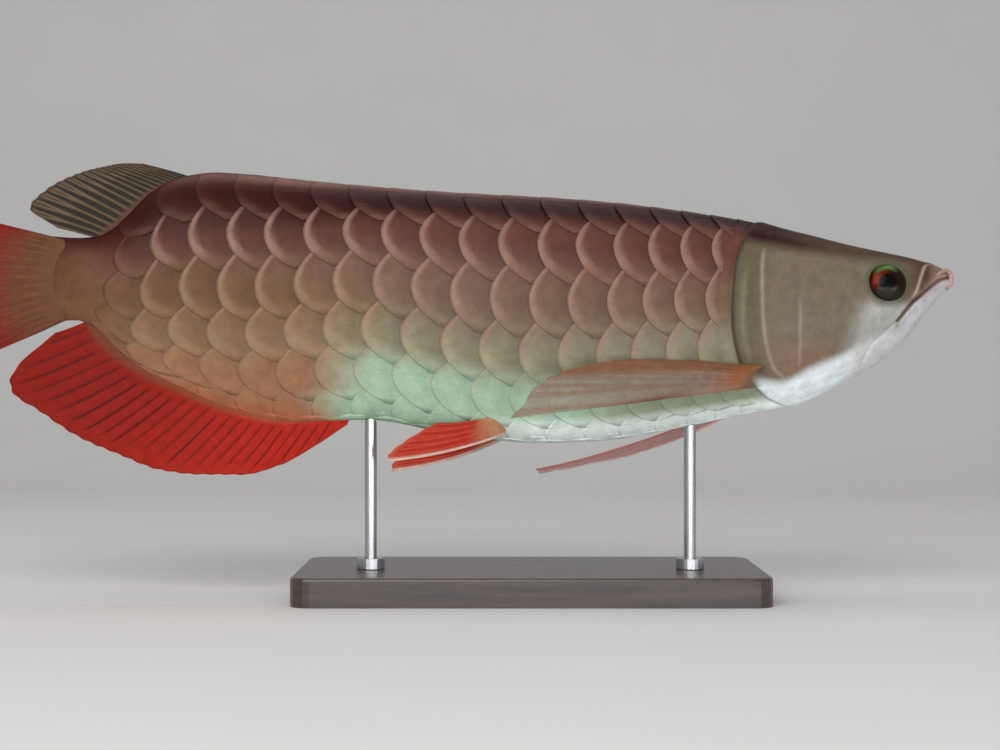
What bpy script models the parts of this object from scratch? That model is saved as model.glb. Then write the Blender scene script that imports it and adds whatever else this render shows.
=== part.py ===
"""A life-size Asian arowana held over a flat base by two short rods.

Metres, +Z up. The row origin is the middle of the base's underside and the head points to +X.
The fish is modelled upright in its own frame, with z = 0 on its bank axis, and is then banked
about X so that its right side and belly turn towards -Y, as it swims in the picture.
"""
import math

import bmesh
import bpy
import numpy as np
from mathutils import Matrix, Vector

MM = 0.001

# Driving dimensions
GAP = 0.35 * MM                 # air kept between nodes that meet
CUT_GAP = 0.5 * MM              # the same where a fin or a rod meets the scaled body
BANK = math.radians(-10)        # turn about X: the belly towards -Y
BANK_AXIS_HEIGHT = 140 * MM     # height of the fish frame's z = 0 over the table
FISH_FORWARD = 9 * MM           # row x of the fish frame's x = 0

# Body outline and girth in the fish frame, in millimetres, from the snout to the tail stalk:
# x, back, belly, half width, widest height as a share, roundness of back, roundness of belly
STATIONS = np.array([
    (202.0, 18.5, 16.5, 1.0, 0.50, 2.0, 2.0),
    (199.5, 22.0, 12.5, 4.0, 0.55, 2.2, 2.0),
    (195.0, 24.6, 8.5, 7.0, 0.60, 2.5, 1.9),
    (188.0, 26.4, 0.0, 11.0, 0.62, 2.8, 1.9),
    (180.0, 28.3, -10.5, 14.5, 0.64, 3.0, 1.8),
    (167.0, 30.6, -22.5, 18.4, 0.66, 3.2, 1.8),
    (150.0, 34.2, -33.0, 21.5, 0.66, 3.1, 1.8),
    (125.0, 41.0, -45.0, 24.5, 0.62, 2.8, 1.8),
    (100.0, 47.0, -49.5, 26.3, 0.58, 2.5, 1.8),
    (65.0, 53.0, -57.0, 27.4, 0.56, 2.3, 1.8),
    (25.0, 58.0, -63.5, 27.6, 0.55, 2.2, 1.8),
    (-5.0, 60.2, -64.5, 27.4, 0.54, 2.2, 1.8),
    (-45.0, 62.5, -60.5, 26.4, 0.54, 2.1, 1.7),
    (-90.0, 66.0, -53.0, 24.0, 0.54, 2.1, 1.6),
    (-125.0, 69.5, -54.5, 21.0, 0.55, 2.0, 1.5),
    (-150.0, 72.3, -50.0, 18.4, 0.57, 2.0, 1.45),
    (-168.0, 73.4, -43.5, 16.4, 0.58, 2.0, 1.45),
    (-184.0, 71.5, -36.5, 14.4, 0.58, 1.9, 1.45),
    (-200.0, 63.5, -29.0, 12.4, 0.56, 1.9, 1.5),
    (-214.0, 49.0, -19.0, 10.6, 0.53, 1.9, 1.6),
    (-226.0, 41.0, -7.5, 8.8, 0.50, 1.9, 1.8),
    (-236.0, 40.0, -3.0, 7.0, 0.50, 1.9, 1.9),
    (-250.0, 41.0, -5.0, 2.6, 0.50, 2.0, 2.0),
])
SNOUT_END = 202 * MM            # the snout's tip
BODY_END = -250 * MM            # the end of the tail stalk, 452 mm behind it

# Scales: rows counted from the row line, three up to the back and three down to the belly
ROWS = 3
ROW_SAMPLES = 4
ROW_LINE = ((-250.0, 0.30), (-230.0, 0.30), (-180.0, 0.36), (-100.0, 0.46), (0.0, 0.44), (200.0, 0.44))
ROW_HEIGHT = ((-250.0, 13.0), (-200.0, 20.0), (-100.0, 23.0), (-25.0, 26.0), (80.0, 24.0))
SCALE_LENGTH = ((-262.0, 9.0), (-245.0, 12.5), (-205.0, 18.2), (-150.0, 19.3), (10.0, 19.0), (80.0, 14.8))
FIRST_SCALE_X = 74 * MM
LAST_SCALE_X = -238 * MM
SCALE_LIFT = 0.8 * MM           # how far a scale's rear edge stands up
LEAST_LIFT = 0.15               # and the least share of it where the rows are pressed together
SCALE_STEP = 0.6 * MM           # from a rear edge to the foot behind it
SCALE_BULGE = 0.31              # depth of a scale's round edge, as a share of its length
SCALE_SLANT = 0.48              # how far a column leans tailwards, top to belly, in scale lengths
SCALE_SLANT_ROWS = 1.6          # rows over which a column leans most
SHOULDER_LIFT = 0.3 * MM        # the smooth shoulder between gill cover and first scales
TRUNK_END_X = -150 * MM         # the trunk ends at the first column of scales past here

# Gill cover edge, by row from the belly to the back, and how far the cover stands proud
GILL_EDGE = ((-3.0, 124.0), (-2.0, 106.0), (-1.0, 93.0), (0.0, 89.0), (1.0, 91.0), (2.0, 99.0), (3.0, 111.0))
GILL_LIFT = 1.1 * MM
GILL_LIFT_RINGS = 4             # rings over which the cover's raised edge fades forwards
HEAD_RINGS = 17
HEAD_SPACING = 0.9              # under 1, rings crowd towards the snout more gently
SNOUT_FLAT = 0.4 * MM           # the last ring's distance from the tip

COLOURS = {
    "skin_dark": ((0.24, 0.10, 0.06, 1), 0.35, 0.15),
    "skin_scales": ((0.42, 0.27, 0.19, 1), 0.30, 0.35),
    "jaw_white": ((0.74, 0.76, 0.74, 1), 0.35, 0.0),
    "fin_red": ((0.62, 0.06, 0.03, 1), 0.40, 0.0),
    "fin_brown": ((0.33, 0.25, 0.19, 1), 0.45, 0.0),
    "fin_amber": ((0.55, 0.25, 0.11, 1), 0.40, 0.0),
    "barbel_pink": ((0.62, 0.40, 0.37, 1), 0.45, 0.0),
    "eye_red": ((0.30, 0.06, 0.03, 1), 0.05, 0.0),
    "stand_black": ((0.03, 0.03, 0.032, 1), 0.35, 0.0),
    "rod_steel": ((0.60, 0.60, 0.62, 1), 0.25, 1.0),
}

PLACE = Matrix.Translation((FISH_FORWARD, 0, BANK_AXIS_HEIGHT)) @ Matrix.Rotation(BANK, 4, "X")


SHARP_ANGLE = math.radians(35)  # edges sharper than this stay sharp in the shading
WELD = 0.002 * MM               # points closer than this are one after a Boolean
CURVE_WELD = 0.01 * MM          # and in a mesh made from a curve


# Scene

def clear_scene():
    for obj in list(bpy.data.objects):
        bpy.data.objects.remove(obj, do_unlink=True)


def new_collection(name):
    collection = bpy.data.collections.new(name)
    bpy.context.scene.collection.children.link(collection)
    return collection


def material(name):
    colour, roughness, metallic = COLOURS[name]
    made = bpy.data.materials.get(name) or bpy.data.materials.new(name)
    made.use_nodes = True
    shader = made.node_tree.nodes["Principled BSDF"]
    shader.inputs["Base Color"].default_value = colour
    shader.inputs["Roughness"].default_value = roughness
    shader.inputs["Metallic"].default_value = metallic
    made.diffuse_color = colour
    return made


def add_object(name, mesh, collection, finish=None):
    obj = bpy.data.objects.new(name, mesh)
    collection.objects.link(obj)
    if finish:
        mesh.materials.clear()
        mesh.materials.append(material(finish))
        mesh.shade_smooth()
        mesh.set_sharp_from_angle(angle=SHARP_ANGLE)
    return obj


def add_cutter(name, mesh, collection):
    obj = add_object(name, mesh, collection)
    obj.hide_render = True
    obj.display_type = "WIRE"
    return obj


def mesh_from_grid(name, points, faces):
    """A mesh from points and faces that all turn one way, turned outwards."""
    mesh = bpy.data.meshes.new(name)
    mesh.from_pydata([tuple(p) for p in points], [], faces)
    work = bmesh.new()
    work.from_mesh(mesh)
    if work.calc_volume(signed=True) < 0:
        bmesh.ops.reverse_faces(work, faces=work.faces)
    work.to_mesh(mesh)
    work.free()
    return mesh


def boolean(obj, operation, others):
    """Applies one Boolean of obj with a list of objects, and keeps the largest closed surface."""
    group = bpy.data.collections.new("operands")
    for other in others:
        group.objects.link(other)
    modifier = obj.modifiers.new("shape", "BOOLEAN")
    modifier.operation = operation
    modifier.solver = "EXACT"
    modifier.operand_type = "COLLECTION"
    modifier.collection = group
    bpy.context.view_layer.update()
    evaluated = obj.evaluated_get(bpy.context.evaluated_depsgraph_get())
    mesh = bpy.data.meshes.new_from_object(evaluated)
    obj.modifiers.clear()
    obj.data = mesh
    bpy.data.collections.remove(group)
    keep_largest(mesh)


def island_of(start):
    """All vertices that edges join to this one."""
    found = {start}
    front = [start]
    while front:
        for edge in front.pop().link_edges:
            for vert in edge.verts:
                if vert not in found:
                    found.add(vert)
                    front.append(vert)
    return found


def signed_volume(verts):
    faces = {face for vert in verts for face in vert.link_faces}
    total = 0.0
    for face in faces:
        first = face.verts[0].co
        for one, two in zip(face.verts[1:-1], face.verts[2:]):
            total += first.dot(one.co.cross(two.co)) / 6
    return total


def keep_largest(mesh):
    """Removes every closed surface but the one that holds the most."""
    work = bmesh.new()
    work.from_mesh(mesh)
    bmesh.ops.remove_doubles(work, verts=work.verts, dist=WELD)
    left = set(work.verts)
    islands = []
    while left:
        island = island_of(next(iter(left)))
        left -= island
        islands.append((signed_volume(island), island))
    islands.sort(key=lambda pair: pair[0], reverse=True)
    loose = [vert for _, island in islands[1:] for vert in island]
    bmesh.ops.delete(work, geom=loose, context="VERTS")
    work.to_mesh(mesh)
    work.free()


# Curves of sizes

def smooth(x, xs, ys):
    """Values at x of the monotone cubic through (xs, ys), with xs in rising order."""
    xs = np.asarray(xs, float)
    ys = np.asarray(ys, float)
    steps = np.diff(xs)
    slopes = np.diff(ys) / steps
    tangents = np.zeros(len(xs))
    same_way = slopes[:-1] * slopes[1:] > 0
    weight_a = 2 * steps[1:] + steps[:-1]
    weight_b = steps[1:] + 2 * steps[:-1]
    safe = np.where(slopes == 0, 1, slopes)
    inner = (weight_a + weight_b) / (weight_a / safe[:-1] + weight_b / safe[1:])
    tangents[1:-1] = np.where(same_way, inner, 0)
    tangents[0], tangents[-1] = slopes[0], slopes[-1]
    x = np.clip(x, xs[0], xs[-1])
    k = np.clip(np.searchsorted(xs, x, side="right") - 1, 0, len(xs) - 2)
    t = (x - xs[k]) / steps[k]
    return (ys[k] * (1 + 2 * t) * (1 - t) ** 2 + steps[k] * tangents[k] * t * (1 - t) ** 2
            + ys[k + 1] * t ** 2 * (3 - 2 * t) - steps[k] * tangents[k + 1] * t ** 2 * (1 - t))


def from_pairs(x, pairs):
    """The smooth curve through (x, value) pairs, both in the pairs' own units."""
    table = np.array(pairs)
    return smooth(x, table[:, 0], table[:, 1])


RISING = STATIONS[::-1]


def station(x, column):
    """One column of the station table at x, in metres for sizes, or as it is for shares."""
    scale = MM if column in (1, 2, 3) else 1
    return smooth(np.asarray(x) / MM, RISING[:, 0], RISING[:, column]) * scale


def back_height(x):
    return station(x, 1)


def belly_height(x):
    return station(x, 2)


# Body surface

CONTOUR = np.linspace(-math.pi / 2, math.pi / 2, 61)
SLOPE_STEP = 0.4 * MM           # steps along and round the body between which its slope is taken
SLOPE_SHARE = 0.02


def contour(x):
    """Half sections at each x: y, z and the length run from the belly, each of shape (x, angle)."""
    x = np.asarray(x, float)[:, None]
    back, belly, half = station(x, 1), station(x, 2), station(x, 3)
    widest = belly + (back - belly) * station(x, 4)
    sine, cosine = np.sin(CONTOUR)[None, :], np.cos(CONTOUR)[None, :]
    power = np.where(sine > 0, station(x, 5), station(x, 6))
    y = half * np.abs(cosine) ** (2 / power)
    rise = np.where(sine > 0, back - widest, widest - belly)
    z = widest + rise * np.sign(sine) * np.abs(sine) ** (2 / power)
    run = np.cumsum(np.hypot(np.diff(y), np.diff(z)), axis=1)
    run = np.concatenate([np.zeros((len(x), 1)), run], axis=1)
    return y, z, run


def surface(x, share):
    """Points of the left flank at x, at a share of the half girth from belly to back."""
    y, z, run = contour(x)
    points = np.empty((len(x), 3))
    points[:, 0] = x
    for k, part in enumerate(share):
        length = part * run[k, -1]
        points[k, 1] = np.interp(length, run[k], y[k])
        points[k, 2] = np.interp(length, run[k], z[k])
    return points


def row_share(x, row):
    """Share of the half girth at which a scale row's edge lies. Rows keep their height near the
    row line and are pressed together towards the back and the belly where the body is low."""
    girth = contour(x)[2][:, -1]
    line = from_pairs(x / MM, ROW_LINE)
    height = from_pairs(x / MM, ROW_HEIGHT) * MM
    part = 1 - np.abs(row) / ROWS
    power_up = np.clip(ROWS * height / (girth * (1 - line)), 1, 2)
    power_down = np.clip(ROWS * height / (girth * line), 1, 2)
    return np.where(row >= 0, 1 - (1 - line) * part ** power_up, line * part ** power_down)


ROW_GRID = np.linspace(-ROWS, ROWS, 2 * ROWS * ROW_SAMPLES + 1)


def ring(x, lift):
    """One closed ring round the body, up the left side and down the right, for x and lift by row."""
    share = row_share(x, ROW_GRID)
    here = surface(x, share)
    along = surface(x + SLOPE_STEP, share) - surface(x - SLOPE_STEP, share)
    inner = np.clip(share, SLOPE_SHARE, 1 - SLOPE_SHARE)
    around = surface(x, inner + SLOPE_SHARE) - surface(x, inner - SLOPE_SHARE)
    normal = np.cross(around, along)
    normal[[0, -1], 1] = 0
    normal /= np.linalg.norm(normal, axis=1)[:, None] + 1e-12
    left = here + normal * np.asarray(lift)[..., None]
    left[0, 1] = left[-1, 1] = 0
    right = left[-2:0:-1] * (1, -1, 1)
    return np.concatenate([left, right])


def scale_columns():
    """The x of each column of scales on the row line, from the gill cover to the tail stalk."""
    columns = [FIRST_SCALE_X]
    while columns[-1] > LAST_SCALE_X:
        columns.append(columns[-1] - float(from_pairs(columns[-1] / MM, SCALE_LENGTH)) * MM)
    return columns[:-1]


def scale_edge(column_x):
    """x by row of the round rear edges of one column of scales."""
    length = float(from_pairs(column_x / MM, SCALE_LENGTH)) * MM
    phase = np.mod(ROW_GRID, 1)
    hollow = np.abs(2 * phase - 1) ** 2
    slant = SCALE_SLANT * np.tanh(ROW_GRID / SCALE_SLANT_ROWS)
    return column_x + length * (slant + SCALE_BULGE * hollow)


def scale_lift(column_x):
    """Lift by row of a column's rear edges: less where the rows are pressed together."""
    x = np.full(len(ROW_GRID), column_x)
    share = row_share(x, ROW_GRID)
    girth = contour(x)[2][:, -1]
    height = np.gradient(share * girth) * ROW_SAMPLES
    full = from_pairs(column_x / MM, ROW_HEIGHT) * MM
    return SCALE_LIFT * np.clip(height / full, LEAST_LIFT, 1)


def gill_edge():
    return from_pairs(ROW_GRID, GILL_EDGE) * MM


def head_rings(extra=0.0):
    """Rings from the snout to the gill cover's edge, spaced more closely where the head tapers,
    and last the foot of the gill cover under its raised edge."""
    edge = gill_edge() + GAP
    front = SNOUT_END - SNOUT_FLAT
    flat = np.full(len(edge), extra)
    rings = [ring(edge, flat)]
    for k in range(HEAD_RINGS):
        part = math.sin(k / (HEAD_RINGS - 1) * math.pi / 2) ** HEAD_SPACING
        fade = max(0.0, 1 - k / GILL_LIFT_RINGS)
        rings.append(ring(edge + (front - edge) * part, flat + GILL_LIFT * fade ** 2))
    return rings[::-1]


def scaled_rings(columns, extra):
    """Two rings for each column: the raised rear edge of its scales, and its foot behind them."""
    rings = []
    for column_x in columns:
        edge = scale_edge(column_x)
        rings.append(ring(edge, scale_lift(column_x) + extra))
        rings.append(ring(edge - SCALE_STEP, np.full(len(edge), extra)))
    return rings


def flat_ring(x, extra):
    return ring(np.full(len(ROW_GRID), x), np.full(len(ROW_GRID), extra))


def loft(name, rings):
    """A closed mesh of triangles through rings, with a fan over each end. Every lofted body is
    split along the same diagonals, so that a larger copy of it clears it all over."""
    points = np.concatenate(rings)
    count = len(rings[0])
    faces = []
    for k in range(len(rings) - 1):
        here, there = k * count, (k + 1) * count
        for j in range(count):
            nxt = (j + 1) % count
            pair = ((here + j, there + nxt, here + nxt), (here + j, there + j, there + nxt))
            other = ((here + j, there + j, here + nxt), (here + nxt, there + j, there + nxt))
            faces.extend(pair if j < count // 2 else other)
    first, last = len(points), len(points) + 1
    points = np.concatenate([points, [rings[0].mean(axis=0)], [rings[-1].mean(axis=0)]])
    end = (len(rings) - 1) * count
    for j in range(count):
        nxt = (j + 1) % count
        faces.append((j, nxt, first))
        faces.append((end + nxt, end + j, last))
    return mesh_from_grid(name, points, faces)


def split_columns():
    columns = scale_columns()
    last = next(k for k, x in enumerate(columns) if x < TRUNK_END_X)
    return columns[:last + 1], columns[last + 1:]


def trunk_rings(extra=0.0):
    columns, _ = split_columns()
    edge = gill_edge()
    first = scale_edge(columns[0])
    flat = np.full(len(edge), extra)
    middle = ring((edge + first) / 2, flat + SHOULDER_LIFT)
    return [ring(edge, flat), middle] + scaled_rings(columns, extra)


def tail_rings(extra=0.0):
    trunk, tail = split_columns()
    edge = scale_edge(trunk[-1]) - SCALE_STEP - GAP
    start = ring(edge, np.full(len(edge), extra))
    return [start] + scaled_rings(tail, extra) + [flat_ring(BODY_END - extra, extra)]


def whole_body(name, extra):
    """The body behind the eyes in one piece, grown by extra all over."""
    head = head_rings(extra)[HEAD_RINGS // 2:-1]
    return loft(name, head + trunk_rings(extra) + tail_rings(extra)[1:])


# Fins

def along(points, part, turn_at=None):
    """Points at shares 0 to 1 of the smooth curve through a few points, spaced by share or turn_at."""
    table = np.array(points, float) * MM
    places = np.linspace(0, 1, len(table)) if turn_at is None else np.array(turn_at)
    return np.stack([smooth(part, places, table[:, k]) for k in range(3)], axis=-1)


FIN_RIM = 0.7 * MM              # membrane thickness at the rim
FIN_LEAST = 0.5 * MM            # the least thickness anywhere on a fin
FIN_WEB = 0.62                  # thickness between two rays, as a share of the membrane's on them
RIDGE_FALL = 0.6                # share of a ray's ridge lost on the way to the rim
FIN_SPACING = 0.9               # under 1, rows of points crowd towards the rim


def fin(name, base, tips, rays, steps, root, ridge, bow=(0, 0, 0), turn_at=None):
    """A closed fin whose rays are ridges on its membrane. Rays run from the base curve to the
    tips curve, bent at mid length by bow times their length. Thickness falls from root to rim."""
    across = np.linspace(0, 1, 2 * rays - 1)
    out = np.linspace(0, 1, steps) ** FIN_SPACING
    start = along(base, across)
    end = along(tips, across, turn_at)
    length = out[None, :, None]
    middle = start[:, None, :] * (1 - length) + end[:, None, :] * length
    ray_length = np.linalg.norm(end - start, axis=1)[:, None, None]
    middle = middle + np.array(bow) * ray_length * (4 * length * (1 - length))
    du = np.gradient(middle, axis=0)
    dv = np.gradient(middle, axis=1)
    normal = np.cross(du, dv)
    normal /= np.linalg.norm(normal, axis=2)[:, :, None] + 1e-12
    on_ray = (np.arange(len(across)) % 2 == 0)[:, None]
    membrane = FIN_RIM + (root - FIN_RIM) * (1 - out[None, :]) ** 3
    swell = ridge * (1 - RIDGE_FALL * out[None, :])
    thick = np.where(on_ray, membrane + swell, membrane * FIN_WEB)
    thick = np.maximum(thick, FIN_LEAST)
    one = middle + normal * thick[:, :, None] / 2
    two = middle - normal * thick[:, :, None] / 2
    return mesh_from_grid(name, *close_sheet(one, two))


def close_sheet(one, two):
    """Points and triangles of the solid between two like sheets, split alike on both."""
    rows, cols = one.shape[:2]
    points = np.concatenate([one.reshape(-1, 3), two.reshape(-1, 3)])
    other = rows * cols

    def at(i, j):
        return i * cols + j

    faces = []
    for i in range(rows - 1):
        for j in range(cols - 1):
            a, b, c, d = at(i, j), at(i + 1, j), at(i + 1, j + 1), at(i, j + 1)
            faces += [(a, b, c), (a, c, d)]
            faces += [(other + a, other + c, other + b), (other + a, other + d, other + c)]
    border = [at(i, 0) for i in range(rows)]
    border += [at(rows - 1, j) for j in range(1, cols)]
    border += [at(i, cols - 1) for i in range(rows - 2, -1, -1)]
    border += [at(0, j) for j in range(cols - 2, 0, -1)]
    for a, b in zip(border, border[1:] + border[:1]):
        faces += [(a, other + a, other + b), (a, other + b, b)]
    return points, faces


SIDES = (("left", 1), ("right", -1))


def to_side(points, side):
    """Points of the left side, or their mirror image where side is -1."""
    return [(x, y * side, z) for x, y, z in points]


# Fins' lines are millimetres in the fish frame; those of paired fins are the left one's
ANAL_RAYS = 26
DORSAL_RAYS = 19
CAUDAL_RAYS = 15
PECTORAL_RAYS = 8
PELVIC_RAYS = 6

FIN_SINK = 3                    # how deep the unpaired fins' bases lie in the body
FIN_RIDGE = 0.6 * MM            # how far a ray stands out of its membrane at the root
ANAL_BASE = (-98, -229)         # x of the base's front and rear ends
ANAL_ROOT = 2.6 * MM            # membrane thickness at the root, and so on for each fin
ANAL_BOW = (0, 0, -0.02)
ANAL_TIPS = ((-99.5, 0, -55.5), (-116, 0, -66.5), (-132.5, 0, -75.5), (-152, 0, -80.5), (-172, 0, -80.5),
             (-192, 0, -78), (-212, 0, -70.5), (-232, 0, -62), (-252, 0, -49), (-267, 0, -38),
             (-268, 0, -33), (-264.5, 0, -26), (-246, 0, -9))
ANAL_TURN = (0, 0.06, 0.13, 0.24, 0.35, 0.46, 0.57, 0.69, 0.8, 0.89, 0.92, 0.95, 1)
DORSAL_BASE = (-176, -224)
DORSAL_ROOT = 2.4 * MM
DORSAL_BOW = (0, 0, 0.01)
DORSAL_TIPS = ((-205, 0, 78.5), (-214, 0, 78.3), (-227, 0, 76.5), (-240, 0, 72), (-254, 0, 64.5),
               (-261.5, 0, 55), (-247, 0, 44.8))
DORSAL_TURN = (0, 0.15, 0.42, 0.63, 0.8, 0.93, 1)
CAUDAL_BASE = ((-244, 0, 38), (-244, 0, 28), (-244, 0, 18), (-244, 0, 8), (-244, 0, -2))
CAUDAL_ROOT = 4.4 * MM
CAUDAL_RIDGE = 0.7 * MM
CAUDAL_TIPS = ((-290, 0, 51), (-306, 0, 48), (-317, 0, 35), (-321, 0, 14), (-317, 0, -7), (-306, 0, -21),
               (-289, 0, -25))
PECTORAL_ROOT = 2.6 * MM
PECTORAL_LINES = {
    "right": ((110, 14.5, -38), (108.5, 16.5, -34), (107, 18, -29.5)),
    "left": ((111, 14.5, -36), (109.5, 13.5, -37), (108, 12.3, -38.2)),
}
PECTORAL_TIPS = {
    "right": ((-19.5, 62, -62), (-5.5, 59, -44.5), (4, 56, -39), (23, 50, -33.5), (43, 43.5, -31),
              (72, 33.5, -29.5)),
    "left": ((-5.5, 61, -69.5), (-3, 50, -73.5), (7, 38, -73.5), (22, 28, -71), (38, 21, -68.5),
             (56, 16, -64)),
}
PECTORAL_BOWS = {"right": (0, -0.06, -0.01), "left": (0, 0.015, -0.03)}
PELVIC_ROOT = 2.2 * MM
PELVIC_RIDGE = 0.5 * MM
PELVIC_BOW = (0, 0.03, -0.045)
PELVIC_LINE = ((-15, 5, -58.5), (-20, 8.5, -55.5), (-26, 11, -52.5))
PELVIC_TIPS = ((-79, 19, -76.5), (-78, 17.5, -72.5), (-72, 15.5, -67), (-63, 13, -61), (-55, 11, -56.5))


def sunk_line(ends, height, sink):
    """Nine points under the body's back or over its belly, sunk in by sink, in millimetres."""
    xs = np.linspace(*ends, 9)
    return [(x, 0, float(height(x * MM)) / MM + sink) for x in xs]


def add_fins(collection, body_cutter):
    anal = fin("anal_fin", sunk_line(ANAL_BASE, belly_height, FIN_SINK), ANAL_TIPS, ANAL_RAYS, 7,
               ANAL_ROOT, FIN_RIDGE, ANAL_BOW, ANAL_TURN)
    dorsal = fin("dorsal_fin", sunk_line(DORSAL_BASE, back_height, -FIN_SINK), DORSAL_TIPS,
                 DORSAL_RAYS, 6, DORSAL_ROOT, FIN_RIDGE, DORSAL_BOW, DORSAL_TURN)
    caudal = fin("caudal_fin", CAUDAL_BASE, CAUDAL_TIPS, CAUDAL_RAYS, 8, CAUDAL_ROOT, CAUDAL_RIDGE)
    made = [add_object("anal_fin", anal, collection, "fin_red"),
            add_object("dorsal_fin", dorsal, collection, "fin_brown"),
            add_object("caudal_fin", caudal, collection, "fin_red")]
    for name, side in SIDES:
        line, tips = to_side(PECTORAL_LINES[name], side), to_side(PECTORAL_TIPS[name], side)
        pectoral = fin("pectoral_fin_" + name, line, tips, PECTORAL_RAYS, 9, PECTORAL_ROOT,
                       FIN_RIDGE, PECTORAL_BOWS[name])
        line, tips = to_side(PELVIC_LINE, side), to_side(PELVIC_TIPS, side)
        pelvic = fin("pelvic_fin_" + name, line, tips, PELVIC_RAYS, 6, PELVIC_ROOT, PELVIC_RIDGE,
                     to_side([PELVIC_BOW], side)[0])
        made.append(add_object("pectoral_fin_" + name, pectoral, collection, "fin_amber"))
        made.append(add_object("pelvic_fin_" + name, pelvic, collection, "fin_red"))
    for obj in made:
        boolean(obj, "DIFFERENCE", [body_cutter])


# Head

EYE = (166.5, 14.7, 12.6)       # the left eye's centre, in millimetres
EYE_RADIUS = 10.2 * MM
EYE_FLATNESS = 0.62             # its width across the head as a share of its height
BALL_SIDES = 20
HEAD_REACH = 40 * MM            # half width of the prisms that cut right through the head
MOUTH_LINE = ((212, 24), (201, 18.6), (194.5, 16.2), (188.8, 11.7), (183, 6.5), (179, 3), (172, -5.5),
              (164, -13), (158.4, -18.5), (155, -26), (152, -45))
JAW_BOX = ((232, -45), (232, 24))
MAXILLA = ((193, 23.5), (187.5, 23), (184.5, 17), (181.5, 9), (178, 3.5), (171, -6.5), (173, -7.5),
           (181, 2), (189, 9), (197, 14), (199, 19))
OPERCULUM = ((109, 38), (104.5, 25), (103.5, 8), (104.5, -14), (110, -31), (120, -33), (121.5, -10),
             (121.5, 20), (119, 36))
CHEEK = ((124, 10), (124, -12), (127, -27), (138, -27), (150, -16), (152, -3), (151, 8), (140, 12))
PLATE_LIFTS = {
    "maxilla": (MAXILLA, 0.8 * MM),
    "operculum": (OPERCULUM, 0.6 * MM),
    "cheek": (CHEEK, 0.5 * MM),
}
NOSE_TUBE = ((188.2, 6.2, 21.8), (190.4, 7.2, 24.0), (192.2, 7.9, 25.6))
NOSE_RADII = (1.7, 1.1)
NOSE_STEPS = 4
BARBEL_RADII = (1.2, 0.5)
BARBEL_STEPS = 12
BARBEL_PATH = ((199.0, 2.6, 14.6), (201.8, 3.4, 16.2), (203.0, 4.2, 19.0), (202.6, 5.0, 22.0),
               (200.4, 6.2, 24.6), (197.0, 7.8, 26.2))


def ball(name, radius, flatness, place):
    """A ball at a place in the fish frame, with its poles on the y axis and flattened along it."""
    work = bmesh.new()
    bmesh.ops.create_uvsphere(work, u_segments=BALL_SIDES, v_segments=BALL_SIDES // 2, radius=radius)
    bmesh.ops.rotate(work, verts=work.verts, matrix=Matrix.Rotation(math.pi / 2, 3, "X"))
    bmesh.ops.scale(work, verts=work.verts, vec=(1, flatness, 1))
    bmesh.ops.translate(work, verts=work.verts, vec=Vector(place) * MM)
    mesh = bpy.data.meshes.new(name)
    work.to_mesh(mesh)
    work.free()
    return mesh


def curve_to_mesh(name, data):
    """The mesh of a curve with its caps welded."""
    curve = bpy.data.objects.new(name, data)
    bpy.context.scene.collection.objects.link(curve)
    bpy.context.view_layer.update()
    mesh = bpy.data.meshes.new_from_object(curve.evaluated_get(bpy.context.evaluated_depsgraph_get()))
    bpy.data.objects.remove(curve)
    work = bmesh.new()
    work.from_mesh(mesh)
    bmesh.ops.remove_doubles(work, verts=work.verts, dist=CURVE_WELD)
    bmesh.ops.recalc_face_normals(work, faces=work.faces)
    work.to_mesh(mesh)
    work.free()
    mesh.name = name
    return mesh


def tube(name, path, radii, steps):
    """A tapered tube along a path in the fish frame."""
    share = np.linspace(0, 1, steps)
    data = bpy.data.curves.new(name, "CURVE")
    data.dimensions = "3D"
    data.bevel_depth = 1
    data.bevel_resolution = 2
    data.use_fill_caps = True
    spline = data.splines.new("POLY")
    spline.points.add(steps - 1)
    for point, place, part in zip(spline.points, along(path, share), share):
        point.co = (*place, 1)
        point.radius = float(np.interp(part, (0, 1), radii)) * MM
    return curve_to_mesh(name, data)


def side_prism(name, outline, rounded=True):
    """A prism right through the head whose outline is drawn on the x-z plane, in millimetres."""
    data = bpy.data.curves.new(name, "CURVE")
    data.dimensions = "2D"
    data.fill_mode = "BOTH"
    data.extrude = HEAD_REACH
    data.resolution_u = 3 if rounded else 1
    spline = data.splines.new("BEZIER")
    spline.bezier_points.add(len(outline) - 1)
    for point, (x, z) in zip(spline.bezier_points, outline):
        point.co = (x * MM, z * MM, 0)
        point.handle_left_type = "AUTO" if rounded else "VECTOR"
        point.handle_right_type = "AUTO" if rounded else "VECTOR"
    spline.use_cyclic_u = True
    mesh = curve_to_mesh(name, data)
    mesh.transform(Matrix.Rotation(math.pi / 2, 4, "X"))
    return mesh


def below_mouth(name, inset):
    """The block under the line of the mouth, from which the lower jaw is taken."""
    line = np.array(MOUTH_LINE, float)
    steps = np.gradient(line, axis=0)
    across = np.stack([-steps[:, 1], steps[:, 0]], axis=1)
    across /= np.linalg.norm(across, axis=1)[:, None]
    outline = [tuple(point) for point in line + across * inset / MM] + list(JAW_BOX)
    return side_prism(name, outline, rounded=False)


def raised_plates(cutters):
    """The jaw bone, the gill cover and the cheek as slabs of a slightly larger head."""
    plates = []
    for name, (outline, lift) in PLATE_LIFTS.items():
        plate = add_cutter(name, loft(name, head_rings(lift)), cutters)
        boolean(plate, "INTERSECT", [add_cutter(name + "_outline", side_prism(name, outline), cutters)])
        plates.append(plate)
    return plates


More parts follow.
